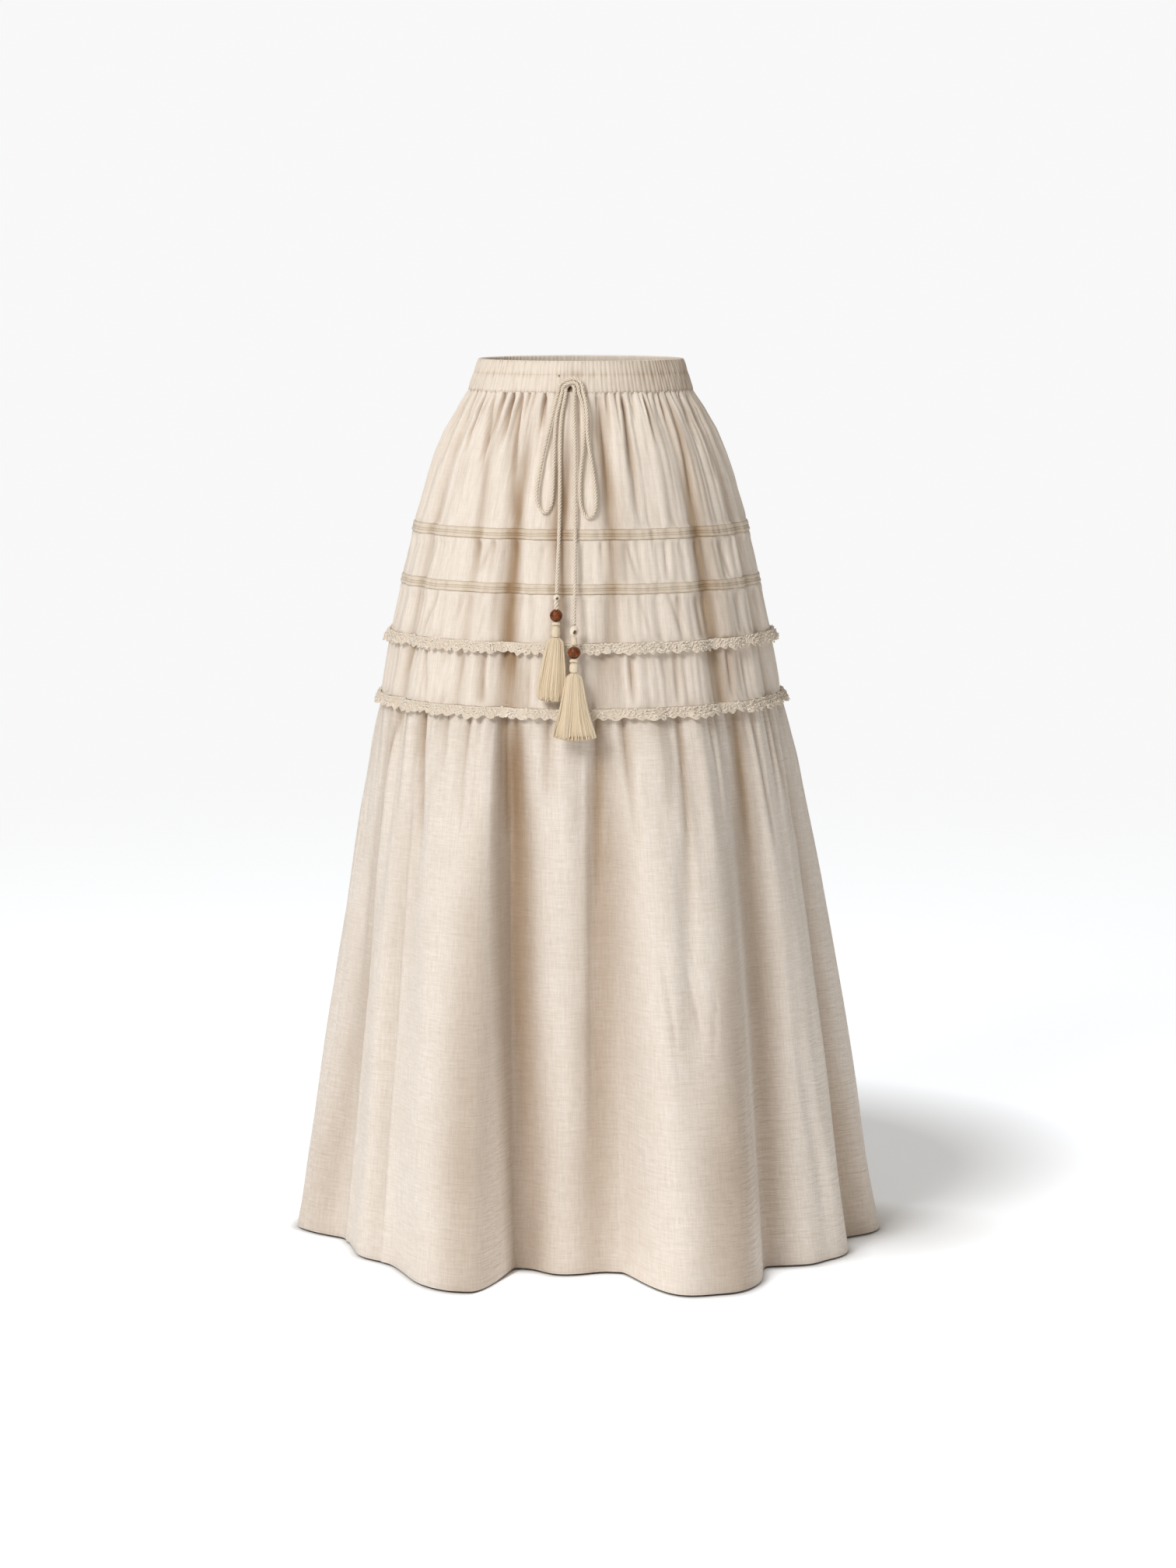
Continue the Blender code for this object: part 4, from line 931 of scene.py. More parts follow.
def overhang(away, reach):
    """Section beside an overhanging fold: deepest next to its crisp edge, and soft on the other side."""
    away = away * math.copysign(1.0, reach)
    reach = abs(reach)
    edge = np.clip(1.0 + away, 0.0, 1.0)
    return np.where(away < 0.0, edge, hill(np.maximum(away - 0.15 * reach, 0.0), 0.85 * reach))


def overhangs(angle, z):
    """Depth and shade beside the overhanging folds."""
    depth, shade = 0.0, 0.0
    for z_start, angle_start, z_end, angle_end, reach, deep, come_in, fade_out, dark in OVERHANGS:
        row = (z_start, angle_start, z_end, angle_end, reach, 1.0, come_in, fade_out)
        section = creases(angle, z, (row,), section=overhang)
        depth = depth + deep * section
        shade = shade + dark * section
    return depth, shade


def flounce_sunk(angle, fanned, z, down):
    """How far gathers, valleys, pleats and creases lie under the flounce's large form."""
    wave = gather_wave(angle * np.ones_like(z), gather_table(FLOUNCE_GATHERS, FLOUNCE_SEED))
    broad = GATHER_DEPTH * np.maximum(0.0, 1.0 - down / GATHER_FADE) * (1.0 - wave)
    broad = broad + valley_depth(fanned, z) * np.maximum(0.0, 1.0 - down / VALLEY_FADE)
    away = TRIM_2_SEAM - z
    fine = pleats(angle, away, 124, 70, 4.0, 74.0, 1.15, lean=0.008)
    fine = fine + pleats(angle, away, 34, 71, 3.4, 200.0, 1.7, lean=0.006)
    fine = fine + creases(angle, z, FLOUNCE_CREASES)
    fade = np.interp(down, (0.0, 0.02, 0.1, 0.3, 1.0), (0.6, 1.0, 0.7, 0.16, 0.03))
    fine = fine + ripples(angle, z, FLOUNCE_RIPPLES, 90) * fade
    beside, shade = overhangs(angle, z)
    broad = broad + creases(angle, z, FLOUNCE_HOLLOWS, section=hill) + beside
    swell = unrest(angle, z, 72, ((7.0, 26.0), (160.0, 700.0)), 1.0 * np.minimum(1.0, 0.4 + down))
    free, at_seam = off_seam(away), seam_depth(fanned) + valley_depth(fanned, z)
    sunk = at_seam + (broad + fine + swell - at_seam) * free
    return sunk, fine, fine * free, shade


def flounce_points(angle, z, lift=0.0, smooth=False):
    """Points of the flounce, lifted off it, and the shade of its folds. Smooth leaves fine pleats out."""
    down = np.clip((TRIM_2_SEAM - z) / (TRIM_2_SEAM - HEM), 0.0, 1.0)
    top_width, top_depth = outline_at(TRIM_2_SEAM)
    half_width = top_width + (HEM_HALF_WIDTH - top_width) * down
    half_depth = top_depth + (HEM_HALF_DEPTH - top_depth) * down
    fanned = angle + FAN * (1.0 - down) * np.sin(np.radians(2.0 * angle))
    height, swing = fold_shape(angle)
    sunk, fine, free, shade = flounce_sunk(angle, fanned, z, down)
    sunk = sunk - free * smooth
    offset = height * down ** FOLD_GROWTH - sunk - side_seam(angle) + lift
    offset = offset + HEM_LAYER * hill(np.maximum(0.0, z - HEM - HEM_TURN_UP + 2.0), 2.0)
    points = on_ellipse(fanned, half_width, half_depth, offset, z, HEM_SHIFT * down, swing * down)
    shade = shade + shades(angle, z, FLOUNCE_SHADES)
    return points, np.minimum(pleat_shade(fine) + shade, 1.0)


# %% Make the flounce
FLOUNCE_COLUMNS = 330
FLOUNCE_ROWS = 94
ANGLE_SHARE = 0.3              # share by which the columns keep even angles, and not even lengths


def spaced_angles(start, end, columns):
    """Angles of the columns, closer together where the hem is longer."""
    fine = np.linspace(start, end, 1441)
    hem, _ = flounce_points(fine[None, :], np.array([[HEM]]))
    length = arc_length(hem[0])
    station = (1.0 - ANGLE_SHARE) * length / length[-1] + ANGLE_SHARE * np.linspace(0.0, 1.0, len(fine))
    return np.interp(np.linspace(0.0, 1.0, columns + 1), station, fine)


def make_flounce():
    """Front and back of the flounce."""
    share = np.linspace(0.0, 1.0, FLOUNCE_ROWS)
    top = TRIM_2_SEAM + SEAM_TUCK
    z = (top + (HEM - top) * share ** 1.15)[:, None]
    for part, start, end in HALVES:
        angle = spaced_angles(start, end, FLOUNCE_COLUMNS)[None, :]
        points, folds = flounce_points(angle, z)
        tuck = np.clip((z - (TRIM_2_SEAM - SEAM_TUCK)) / (2.0 * SEAM_TUCK), 0.0, 1.0)
        points[..., :2] *= 1.0 - 0.008 * tuck[..., None]
        middle = arc_length(points[FLOUNCE_ROWS // 2])
        sheet = grid_mesh(f"flounce_{part}_cloth", points, middle - 400.0, z[:, 0], folds, FLOUNCE_LINEN)
        piece = finish_piece(thicken(sheet, CLOTH), "linen", f"flounce_{part}")


make_flounce()

# %% [markdown]
# ## Geometry Nodes for what repeats
# Stitches, crochet loops, the plies of a cord and the threads of a tassel all repeat along a line. Each
# has a small node tree with named inputs. A path is a mesh of points joined by edges, which the tree
# turns into a curve. The result is made a plain mesh at once.

# %% Node trees and paths
def geometry_tree(name, **inputs):
    """An empty tree with a geometry input and output, and an input for each size or material."""
    tree = bpy.data.node_groups.new(name, "GeometryNodeTree")
    tree.interface.new_socket("Geometry", in_out="INPUT", socket_type="NodeSocketGeometry")
    for title, value in inputs.items():
        kinds = {int: "NodeSocketInt", float: "NodeSocketFloat"}
        kind = kinds.get(type(value), "NodeSocketMaterial")
        socket = tree.interface.new_socket(title, in_out="INPUT", socket_type=kind)
        if value is not None:
            socket.default_value = value
    tree.interface.new_socket("Geometry", in_out="OUTPUT", socket_type="NodeSocketGeometry")
    return tree, add_node(tree, "NodeGroupInput").outputs


def end_tree(tree, geometry, material):
    """End a tree: realized, smooth and with its material."""
    real = add_node(tree, "GeometryNodeRealizeInstances", {0: geometry}).outputs[0]
    smooth = add_node(tree, "GeometryNodeSetShadeSmooth", {0: real}).outputs[0]
    done = add_node(tree, "GeometryNodeSetMaterial", {"Geometry": smooth, "Material": material})
    add_node(tree, "NodeGroupOutput", {0: done.outputs[0]})


def run_tree(obj, tree, **values):
    """Give an object a node tree with its input values, and turn the result into a plain mesh."""
    modifier = obj.modifiers.new(tree.name, "NODES")
    modifier.node_group = tree
    for socket in tree.interface.items_tree:
        if socket.in_out == "INPUT" and socket.name in values:
            modifier[socket.identifier] = values[socket.name]
    return as_plain_mesh(obj)


print("Each tree below ends in real, smooth geometry with its material")

# %% Paths
def path_object(name, lines, closed=False, **attributes):
    """Points of one or more lines as a mesh of edges. Attributes have a value for each point."""
    points = np.concatenate([np.asarray(line) for line in lines]) * MM
    edges = []
    first = 0
    for line in lines:
        count = len(line)
        edges += [(first + k, first + k + 1) for k in range(count - 1)]
        if closed:
            edges.append((first + count - 1, first))
        first += count
    return mesh_object(name, points.tolist(), edges, [], **attributes)


# %% [markdown]
# ## Cotton cord
# The drawstring is cotton cord, three plies twisted with a lay of 11 mm. The tree resamples the
# path, turns each step a little further and sweeps a three-lobed section along it. The section keeps
# how deep it lies between the plies, so that the material can paint shade into the grooves. Cotton's
# fine fibres scatter light all ways, so its roughness is 0.85, its direct shine is low and its fuzz gives a
# sheen.

# %% Cord material and tree
CORD_DIAMETER = 4.0
CORD_LAY = 11.0
CORD_PLIES = 3
CORD_FULLNESS = 1.12           # the plies stand out over the cord's mean width
PLY_DEPTH = 0.3                # depth of the groove between two plies, as a share of the radius


def cotton_material(name, pale, deep, fuzz_mm, bump_mm, groove, low, high):
    """Soft cotton yarn: a fibrous tone that an attribute moves between deep and pale. On some pieces that is
    painted shade in grooves, holes and gaps, on others a tone that differs at random.
    """
    material, tree, shader = new_material(name, {"Roughness": 0.85, "Specular IOR Level": 0.2,
                                                 "Sheen Weight": 0.3, "Sheen Roughness": 0.4})
    place = add_node(tree, "ShaderNodeTexCoord").outputs["Object"]
    fibres = add_node(tree, "ShaderNodeTexNoise", {"Vector": place, "Scale": 1.0 / (fuzz_mm * MM),
                                                   "Detail": 3.0}).outputs["Fac"]
    depth = add_node(tree, "ShaderNodeAttribute", attribute_name=groove).outputs["Fac"]
    crest = add_node(tree, "ShaderNodeMapRange", {"Value": depth, "From Min": low, "From Max": high})
    tone = layered(tree, ((crest.outputs[0], 0.75), (fibres, 0.4)))
    color = add_node(tree, "ShaderNodeMix", {0: tone, 6: hex_color(deep), 7: hex_color(pale)},
                     data_type="RGBA").outputs[2]
    tree.links.new(color, shader.inputs["Base Color"])
    bump = add_node(tree, "ShaderNodeBump", {"Height": fibres, "Distance": bump_mm * MM, "Strength": 0.7})
    tree.links.new(bump.outputs[0], shader.inputs["Normal"])
    return material


def twisted_cord_tree():
    """Sweep a lobed section along a path, and turn it as it goes."""
    tree, given = geometry_tree("twisted_cord", Radius=0.002, Lay=0.011, Plies=3, Spacing=0.0012,
                                Groove=0.3, Material=None)
    curve = add_node(tree, "GeometryNodeMeshToCurve", {"Mesh": given["Geometry"]}).outputs[0]
    curve = add_node(tree, "GeometryNodeResampleCurve", {"Curve": curve, "Length": given["Spacing"]},
                     mode="LENGTH").outputs[0]
    along = add_node(tree, "GeometryNodeSplineParameter").outputs["Length"]
    laid = add_node(tree, "ShaderNodeMath", {0: along, 1: given["Lay"]}, operation="DIVIDE").outputs[0]
    tilt = add_node(tree, "ShaderNodeMath", {0: laid, 1: FULL_TURN}, operation="MULTIPLY").outputs[0]
    curve = add_node(tree, "GeometryNodeSetCurveTilt", {"Curve": curve, "Tilt": tilt}).outputs[0]

    ring = add_node(tree, "GeometryNodeCurvePrimitiveCircle", {"Resolution": 15, "Radius": given["Radius"]})
    factor = add_node(tree, "GeometryNodeSplineParameter").outputs["Factor"]
    around = add_node(tree, "ShaderNodeMath", {0: factor, 1: FULL_TURN}, operation="MULTIPLY").outputs[0]
    lobes = add_node(tree, "ShaderNodeMath", {0: around, 1: given["Plies"]},
                     operation="MULTIPLY").outputs[0]
    crest = add_node(tree, "ShaderNodeMath", {0: lobes}, operation="COSINE").outputs[0]
    below = add_node(tree, "ShaderNodeMath", {0: crest, 1: 0.5, 2: -0.5},
                     operation="MULTIPLY_ADD").outputs[0]
    size = add_node(tree, "ShaderNodeMath", {0: below, 1: given["Groove"], 2: 1.0},
                    operation="MULTIPLY_ADD").outputs[0]
    place = add_node(tree, "GeometryNodeInputPosition").outputs[0]
    lobed = add_node(tree, "ShaderNodeVectorMath", {0: place, "Scale": size}, operation="SCALE").outputs[0]
    marked = add_node(tree, "GeometryNodeStoreNamedAttribute",
                      {"Geometry": ring.outputs[0], "Name": "strand", "Value": crest},
                      data_type="FLOAT", domain="POINT").outputs[0]
    section = add_node(tree, "GeometryNodeSetPosition", {"Geometry": marked, "Position": lobed}).outputs[0]
    tube = add_node(tree, "GeometryNodeCurveToMesh",
                    {"Curve": curve, "Profile Curve": section, "Fill Caps": True}).outputs[0]
    end_tree(tree, tube, given["Material"])
    return tree


# Painted shade: the cord turns from pale on its plies to brown in the grooves between them.
CORD_COTTON = cotton_material("twisted_cotton_cord", "F4E9D9", "AD9070", 0.5, 0.15, "strand", -1.0, 0.0)
TWISTED_CORD = twisted_cord_tree()
print("Cord:", CORD_PLIES, "plies,", CORD_LAY, "mm lay")

# %% [markdown]
# ## Drawstring
# The cord leaves the waistband, is tied in a bow and hangs down on the tiers. Its route is given
# point by point, as x, z and the distance off the body's outline. The loops are narrow drops,
# and the two ends fall almost straight. At the bow the cords pass over each other in an arch.

# %% Routes
CORD_LIFT = 2.6
LOOP_LEFT = (
    (-24.2, -14.2, 5.2), (-25.8, -21.0, 5.2), (-28.4, -31.0, 4.6), (-31.8, -45.0, 3.6),
    (-37.4, -68.0, CORD_LIFT), (-43.9, -98.0, CORD_LIFT), (-47.7, -122.0, CORD_LIFT),
    (-47.0, -135.5, CORD_LIFT), (-43.6, -142.6, CORD_LIFT), (-39.3, -144.8, CORD_LIFT),
    (-35.2, -142.4, CORD_LIFT), (-31.7, -135.0, CORD_LIFT), (-30.2, -120.0, CORD_LIFT),
    (-29.2, -92.0, CORD_LIFT), (-28.2, -62.0, CORD_LIFT), (-26.2, -42.0, CORD_LIFT),
    (-22.6, -27.0, 3.8), (-20.4, -16.6, 4.8),
)
LOOP_RIGHT = (
    (-2.4, -17.3, 4.8), (0.6, -25.0, 3.8), (3.2, -35.0, CORD_LIFT), (4.2, -50.0, CORD_LIFT),
    (2.6, -76.0, CORD_LIFT), (-0.4, -106.0, CORD_LIFT), (-0.8, -128.0, CORD_LIFT),
    (1.0, -141.0, CORD_LIFT), (4.6, -148.0, CORD_LIFT), (9.0, -150.2, CORD_LIFT),
    (13.4, -147.6, CORD_LIFT), (16.4, -139.0, CORD_LIFT), (16.2, -122.0, CORD_LIFT),
    (12.6, -96.0, CORD_LIFT), (8.8, -74.0, 3.8), (7.2, -58.0, 6.0), (7.0, -42.0, 7.6),
    (5.4, -27.0, 7.6), (2.2, -15.2, 6.0),
)
END_LEFT = (
    (-16.2, -17.4, 4.8), (-17.8, -26.0, 4.4), (-20.4, -39.0, CORD_LIFT), (-22.0, -56.0, CORD_LIFT),
    (-22.5, -84.0, CORD_LIFT), (-22.6, -112.0, CORD_LIFT), (-22.8, -140.0, CORD_LIFT),
    (-23.4, -168.0, CORD_LIFT), (-24.4, -194.0, 5.0), (-25.2, -215.0, 9.0), (-25.8, -230.9, 12.8),
)
END_RIGHT = (
    (-6.8, -17.6, 4.8), (-7.5, -27.0, 4.2), (-7.2, -42.0, CORD_LIFT), (-6.3, -66.0, CORD_LIFT),
    (-5.9, -98.0, CORD_LIFT), (-5.9, -130.0, CORD_LIFT), (-5.9, -160.0, CORD_LIFT),
    (-5.9, -190.0, 4.4), (-6.1, -220.0, 8.2), (-6.6, -246.0, 12.2), (-6.9, -263.8, 15.2),
)
# The arch of the bow: its outer strand, the strand under it, and the two short ones in the middle.
BOW_STRANDS = (
    ((-24.2, -14.2, 5.2), (-22.4, -9.0, 5.4), (-18.0, -5.2, 5.6), (-12.4, -3.0, 5.8), (-6.4, -2.4, 6.0),
     (-1.4, -5.0, 6.0), (1.6, -9.8, 6.0), (2.2, -15.2, 6.0)),
    ((-20.4, -16.6, 4.8), (-19.4, -12.4, 4.6), (-16.4, -8.8, 4.6), (-11.8, -7.0, 5.0), (-7.0, -6.6, 5.0),
     (-3.6, -9.2, 4.8), (-2.4, -13.2, 4.8), (-2.4, -17.3, 4.8)),
    ((-16.2, -17.4, 4.8), (-15.8, -13.0, 2.6), (-13.4, -9.4, 1.6), (-10.4, -8.6, 1.6), (-7.8, -10.4, 2.4),
     (-6.8, -13.8, 3.8), (-6.8, -17.6, 4.8)),
)


def on_front(x, z, lift):
    """A point that stands off the front of the body's outline."""
    half_width, half_depth = outline_at(z)
    return Vector((x, -half_depth * math.sqrt(1.0 - (x / half_width) ** 2) - lift, z))


def smooth_route(points, count):
    """Points of a Catmull-Rom curve through a route."""
    ends = [points[0] * 2.0 - points[1]] + points + [points[-1] * 2.0 - points[-2]]
    spans = len(points) - 1
    route = []
    for k in range(count):
        place = spans * k / (count - 1)
        span = min(int(place), spans - 1)
        t = place - span
        a, b, c, d = ends[span:span + 4]
        route.append(
            0.5 * (2.0 * b + (c - a) * t + (2.0 * a - 5.0 * b + 4.0 * c - d) * t ** 2
                   + (3.0 * b - a - 3.0 * c + d) * t ** 3)
        )
    return route


# %% Cords
ROUTE_STEPS = 90


def twisted(name, routes, diameter=CORD_DIAMETER):
    """A twisted cord along one or more routes, as one mesh."""
    lay = CORD_LAY / CORD_DIAMETER * diameter * MM
    return run_tree(path_object(name, routes), TWISTED_CORD, Radius=CORD_FULLNESS * diameter / 2.0 * MM,
                    Lay=lay, Plies=CORD_PLIES, Groove=PLY_DEPTH, Material=CORD_COTTON)


def make_cord(node, rows):
    """One stretch of the drawstring along its own route, returned with that route."""
    route = smooth_route([on_front(*row) for row in rows], ROUTE_STEPS)
    return finish_piece(twisted(f"{node}_cord", [route]), "cord_cotton", node), route


for node, rows in (("bow_loop_left", LOOP_LEFT), ("bow_loop_right", LOOP_RIGHT),
                   ("drawstring_end_left", END_LEFT), ("drawstring_end_right", END_RIGHT)):
    make_cord(node, rows)

bow = [smooth_route([on_front(*row) for row in rows], 40) for rows in BOW_STRANDS]
finish_piece(twisted("bow_arch", bow), "cord_cotton", "bow_knot")

# %% [markdown]
# ## Beads, discs and knots
# Each end of the drawstring carries a knot, a turned wooden bead with a dark varnish and small pale
# beads. They are lathe work, so each is a profile turned round the line that it hangs on. The bores
# are dished, as a drill leaves them. The varnish is thin and rubbed down, so the dark wood has a
# roughness of 0.4 and a faint coat. Wax leaves the pale wood duller, at 0.6.

# %% Wood materials
GRAIN_MM = 1.1


def wood_material(name, pale, deep, roughness, coat):
    """Turned wood: fine grain rings along one direction, with a varnish on top."""
    material, tree, shader = new_material(name, {"Roughness": roughness, "Specular IOR Level": 0.3,
                                                 "Coat Weight": coat, "Coat Roughness": 0.18})
    place = add_node(tree, "ShaderNodeTexCoord").outputs["Object"]
    lengthwise = add_node(tree, "ShaderNodeMapping", {"Vector": place, "Scale": (1.0, 0.6, 0.25),
                                                      "Rotation": (0.3, 0.5, 0.0)}).outputs[0]
    grain = add_node(tree, "ShaderNodeTexNoise", {"Vector": lengthwise, "Scale": 1.0 / (GRAIN_MM * MM),
                                                  "Detail": 4.0, "Distortion": 1.2}).outputs["Fac"]
    tone = add_node(tree, "ShaderNodeMapRange", {"Value": grain, "From Min": 0.38, "From Max": 0.68})
    color = add_node(tree, "ShaderNodeMix", {0: tone.outputs[0], 6: hex_color(deep), 7: hex_color(pale)},
                     data_type="RGBA").outputs[2]
    tree.links.new(color, shader.inputs["Base Color"])
    return material


DARK_WOOD = wood_material("varnished_dark_wood", "9A4E14", "3A1A07", 0.4, 0.03)
PALE_WOOD = wood_material("waxed_pale_wood", "F1E4D0", "DBC7A8", 0.6, 0.05)
print("Wood grain:", GRAIN_MM, "mm")

# %% Turned pieces
#   side, top x y z, bottom x y z
HANG_LINES = {
    "left": ((-25.9, -184.2, -231.3), (-28.5, -203.4, -346.8)),
    "right": ((-7.0, -194.8, -264.2), (-7.2, -220.7, -386.6)),
}
#   node, kind, height, radius
END_PIECES = {
    "left": (
        ("end_knot_left", "knot", 7.2, 3.6), ("drawstring_tip_left", "tip", 8.3, 2.6),
        ("wood_bead_left", "round bead", 13.8, 6.9), ("disc_left", "disc", 3.4, 4.6),
        ("cream_bead_left", "barrel", 13.2, 4.6),
    ),
    "right": (
        ("end_knot_right", "knot", 11.8, 4.7), ("barrel_bead_right", "barrel", 10.2, 3.3),
        ("wood_bead_right", "round bead", 13.6, 6.8), ("disc_right", "disc", 3.6, 4.9),
        ("cream_bead_right", "barrel", 11.4, 5.0),
    ),
}
LATHE_STEPS = 36
KNOT_COTTON_HOLE_SHADE = cotton_material("knotted_cotton_hole_shade", "F2E6D2", "5A4630", 0.5, 0.2, "tone", 0.3, 0.62)
BORE = 1.1                     # radius of a bead's bore
END_GAP = 0.3


def profile_of(kind, height, radius):
    """Half section of a turned piece from its top bore to its bottom bore: radius and height."""
    half = height / 2.0
    fullness = {"round bead": 2.0, "barrel": 3.2, "disc": 4.5}[kind]
    turns = np.linspace(0.5 * math.pi - 0.2, -0.5 * math.pi + 0.2, 25)
    cos, sin = np.cos(turns), np.sin(turns)
    rim = [(radius * abs(c) ** (2.0 / fullness), half * math.copysign(abs(s) ** (2.0 / fullness), s))
           for c, s in zip(cos, sin)]
    dish = 0.12 * height
    return [(0.0, half - 3.0 * dish), (BORE, half - 2.0 * dish)] + rim + [
        (BORE, -half + 2.0 * dish), (0.0, -half + 3.0 * dish)]


def turned_piece(name, profile, place, material):
    """Turn a profile round the Z axis and put it in its place."""
    ring = FULL_TURN * np.arange(LATHE_STEPS) / LATHE_STEPS
    rows = [[(r * math.cos(a), r * math.sin(a), z) for a in ring] for r, z in profile[1:-1]]
    points = [point for row in rows for point in row] + [(0, 0, profile[0][1]), (0, 0, profile[-1][1])]
    faces = quads_between(len(rows), LATHE_STEPS)
    last = (len(rows) - 1) * LATHE_STEPS
    for j in range(LATHE_STEPS):
        after = (j + 1) % LATHE_STEPS
        faces.append((len(points) - 2, j, after))
        faces.append((len(points) - 1, last + after, last + j))
    piece = mesh_object(name, points, [], faces, material)
    piece.data.transform(place @ Matrix.Scale(MM, 4))
    return piece


def knot_profile(radius):
    """Section of a small tight knot: a ball of cord with a hole at its top, where the turns meet."""
    turns = np.linspace(0.5 * math.pi - 0.5, -0.5 * math.pi + 0.15, 25)
    return [(0.0, 0.2 * radius), (0.3 * radius, 0.45 * radius)] + [
        (radius * math.cos(a), radius * math.sin(a)) for a in turns] + [(0.0, -radius)]


KNOT_EYE = Vector((0.3, -0.86, -0.42))      # the side of a knot on which its hole lies


def make_knot(node, middle, height, radius):
    """A knot, longer along the cord than it is wide, whose hole is painted dark as shadow."""
    turned = Vector((0.0, 0.0, 1.0)).rotation_difference(KNOT_EYE).to_matrix().to_4x4()
    place = middle @ Matrix.Diagonal((1.0, 1.0, height / (2.0 * radius), 1.0)) @ turned
    knot = turned_piece(f"{node}_tied", knot_profile(radius), place, KNOT_COTTON_HOLE_SHADE)
    back = place.inverted()
    inside = [back @ v.co / MM for v in knot.data.vertices]
    # Painted shadow: the tone falls to dark brown in the hole at the top, and stays pale on the turns.
    tones = knot.data.attributes.new("tone", "FLOAT", "POINT").data
    tones.foreach_set("value", [math.hypot(*p.xy) / radius if p.z > 0.0 else 1.0 for p in inside])
    return knot


def make_end_pieces(side):
    """Knot, beads and disc of one end, each below the last. Returns the pieces and what is left."""
    top, bottom = (Vector(point) for point in HANG_LINES[side])
    down = (bottom - top).normalized()
    turn = Vector((0.0, 0.0, 1.0)).rotation_difference(-down).to_matrix().to_4x4()
    pieces = []
    place = top
    for node, kind, height, radius in END_PIECES[side]:
        middle = Matrix.Translation((place + down * (height / 2.0)) * MM) @ turn
        if kind == "knot":
            piece = make_knot(node, middle, height, radius)
        elif kind == "tip":
            route = [place - down * 1.0, place + down * (height / 2.0), place + down * (height + 1.0)]
            piece = twisted(f"{node}_cord", [route], diameter=2.0 * radius)
        else:
            material = DARK_WOOD if kind == "round bead" else PALE_WOOD
            piece = turned_piece(f"{node}_turned", profile_of(kind, height, radius), middle, material)
        slot = {"knot": "cord_cotton", "tip": "cord_cotton", "round bead": "dark_wood"}.get(kind, "pale_wood")
        pieces.append(finish_piece(piece, slot, node))
        place = place + down * (height + END_GAP)
    return pieces, place, bottom, turn


ENDS = {side: make_end_pieces(side) for side in ("left", "right")}
print("Beads and knots:", sum(len(ends[0]) for ends in ENDS.values()))

# %% [markdown]
# ## Tassels
# A tassel is a hank of soft cotton threads, folded over and tied, so that they spring out over round
# shoulders and fall apart at the tips. Each thread gets its own place in the hank, and the tree gives
# it its thickness.

# %% Tassel threads
THREADS = 250
THREAD_DIAMETER = 1.25
CORE_SHARE = 0.92              # the hank under its outer threads, as a share of their spread
TASSEL_SEED = 90
#   share of the length from the top, half width in millimetres, half depth
TASSEL_SHAPES = {
    "left": ((0.0, 3.4, 2.8), (0.02, 6.2, 3.4), (0.05, 8.4, 4.0), (0.1, 9.8, 4.2), (0.2, 10.6, 4.2),
             (0.46, 13.2, 4.4), (0.72, 15.6, 4.4), (0.9, 16.2, 4.6), (1.0, 14.8, 4.6)),
    "right": ((0.0, 3.4, 2.8), (0.03, 6.4, 3.6), (0.07, 8.8, 4.0), (0.18, 10.6, 4.1), (0.41, 13.4, 4.2),
              (0.64, 17.0, 4.3), (0.81, 20.2, 4.5), (0.94, 23.2, 4.8), (1.0, 24.2, 4.8)),
}
TASSEL_LEAN = {"left": -3.4, "right": 0.5}
THREAD_POINTS = 14
THREAD_EASE = 1.8              # points lie closer together near the top, where the threads bend most
CORE_ROWS, CORE_COLUMNS = 15, 60


def thread_tree():
    """Give paths a round section of a few sides."""
    tree, given = geometry_tree("tassel_threads", Radius=0.0005, Material=None)
    curve = add_node(tree, "GeometryNodeMeshToCurve", {"Mesh": given["Geometry"]}).outputs[0]
    ring = add_node(tree, "GeometryNodeCurvePrimitiveCircle", {"Resolution": 4, "Radius": given["Radius"]})
    tube = add_node(tree, "GeometryNodeCurveToMesh",
                    {"Curve": curve, "Profile Curve": ring.outputs[0], "Fill Caps": True}).outputs[0]
    end_tree(tree, tube, given["Material"])
    return tree


TASSEL_COTTON = cotton_material("loose_cotton_threads", "ECDCC3", "D0B790", 0.8, 0.15, "tone", 0.0, 1.0)
THREAD_TREE = thread_tree()


def make_tassel_core(side, top, length, turn):
    """The inner threads of a hank as one fluted body."""
    share, width, depth = (np.array(column) for column in zip(*TASSEL_SHAPES[side]))
    down = 0.93 * np.linspace(0.0, 1.0, CORE_ROWS) ** THREAD_EASE
    around = FULL_TURN * np.arange(CORE_COLUMNS) / CORE_COLUMNS
    rows = []
    for t in down:
        flute = 1.0 + 0.05 * t * np.sin(13.0 * around) + 0.04 * t * np.sin(23.0 * around + 1.0)
        x = CORE_SHARE * np.interp(t, share, width) * flute * np.cos(around) + TASSEL_LEAN[side] * t
        y = CORE_SHARE * np.interp(t, share, depth) * flute * np.sin(around)
        rows.append([(turn @ Vector((a, b, -t * length))) + top for a, b in zip(x, y)])
    points = [point for row in rows for point in row]
    count = len(points)
    faces = [range(CORE_COLUMNS)[::-1], range(count - CORE_COLUMNS, count)]
    faces += [quad[::-1] for quad in quads_between(CORE_ROWS, CORE_COLUMNS)]
    # Painted shade: the core has the dark tone of threads deep in the hank.
    return mesh_object(f"tassel_{side}_core", [tuple(point * MM) for point in points], [],
                       [tuple(face) for face in faces], TASSEL_COTTON, tone=np.full(count, 0.35))


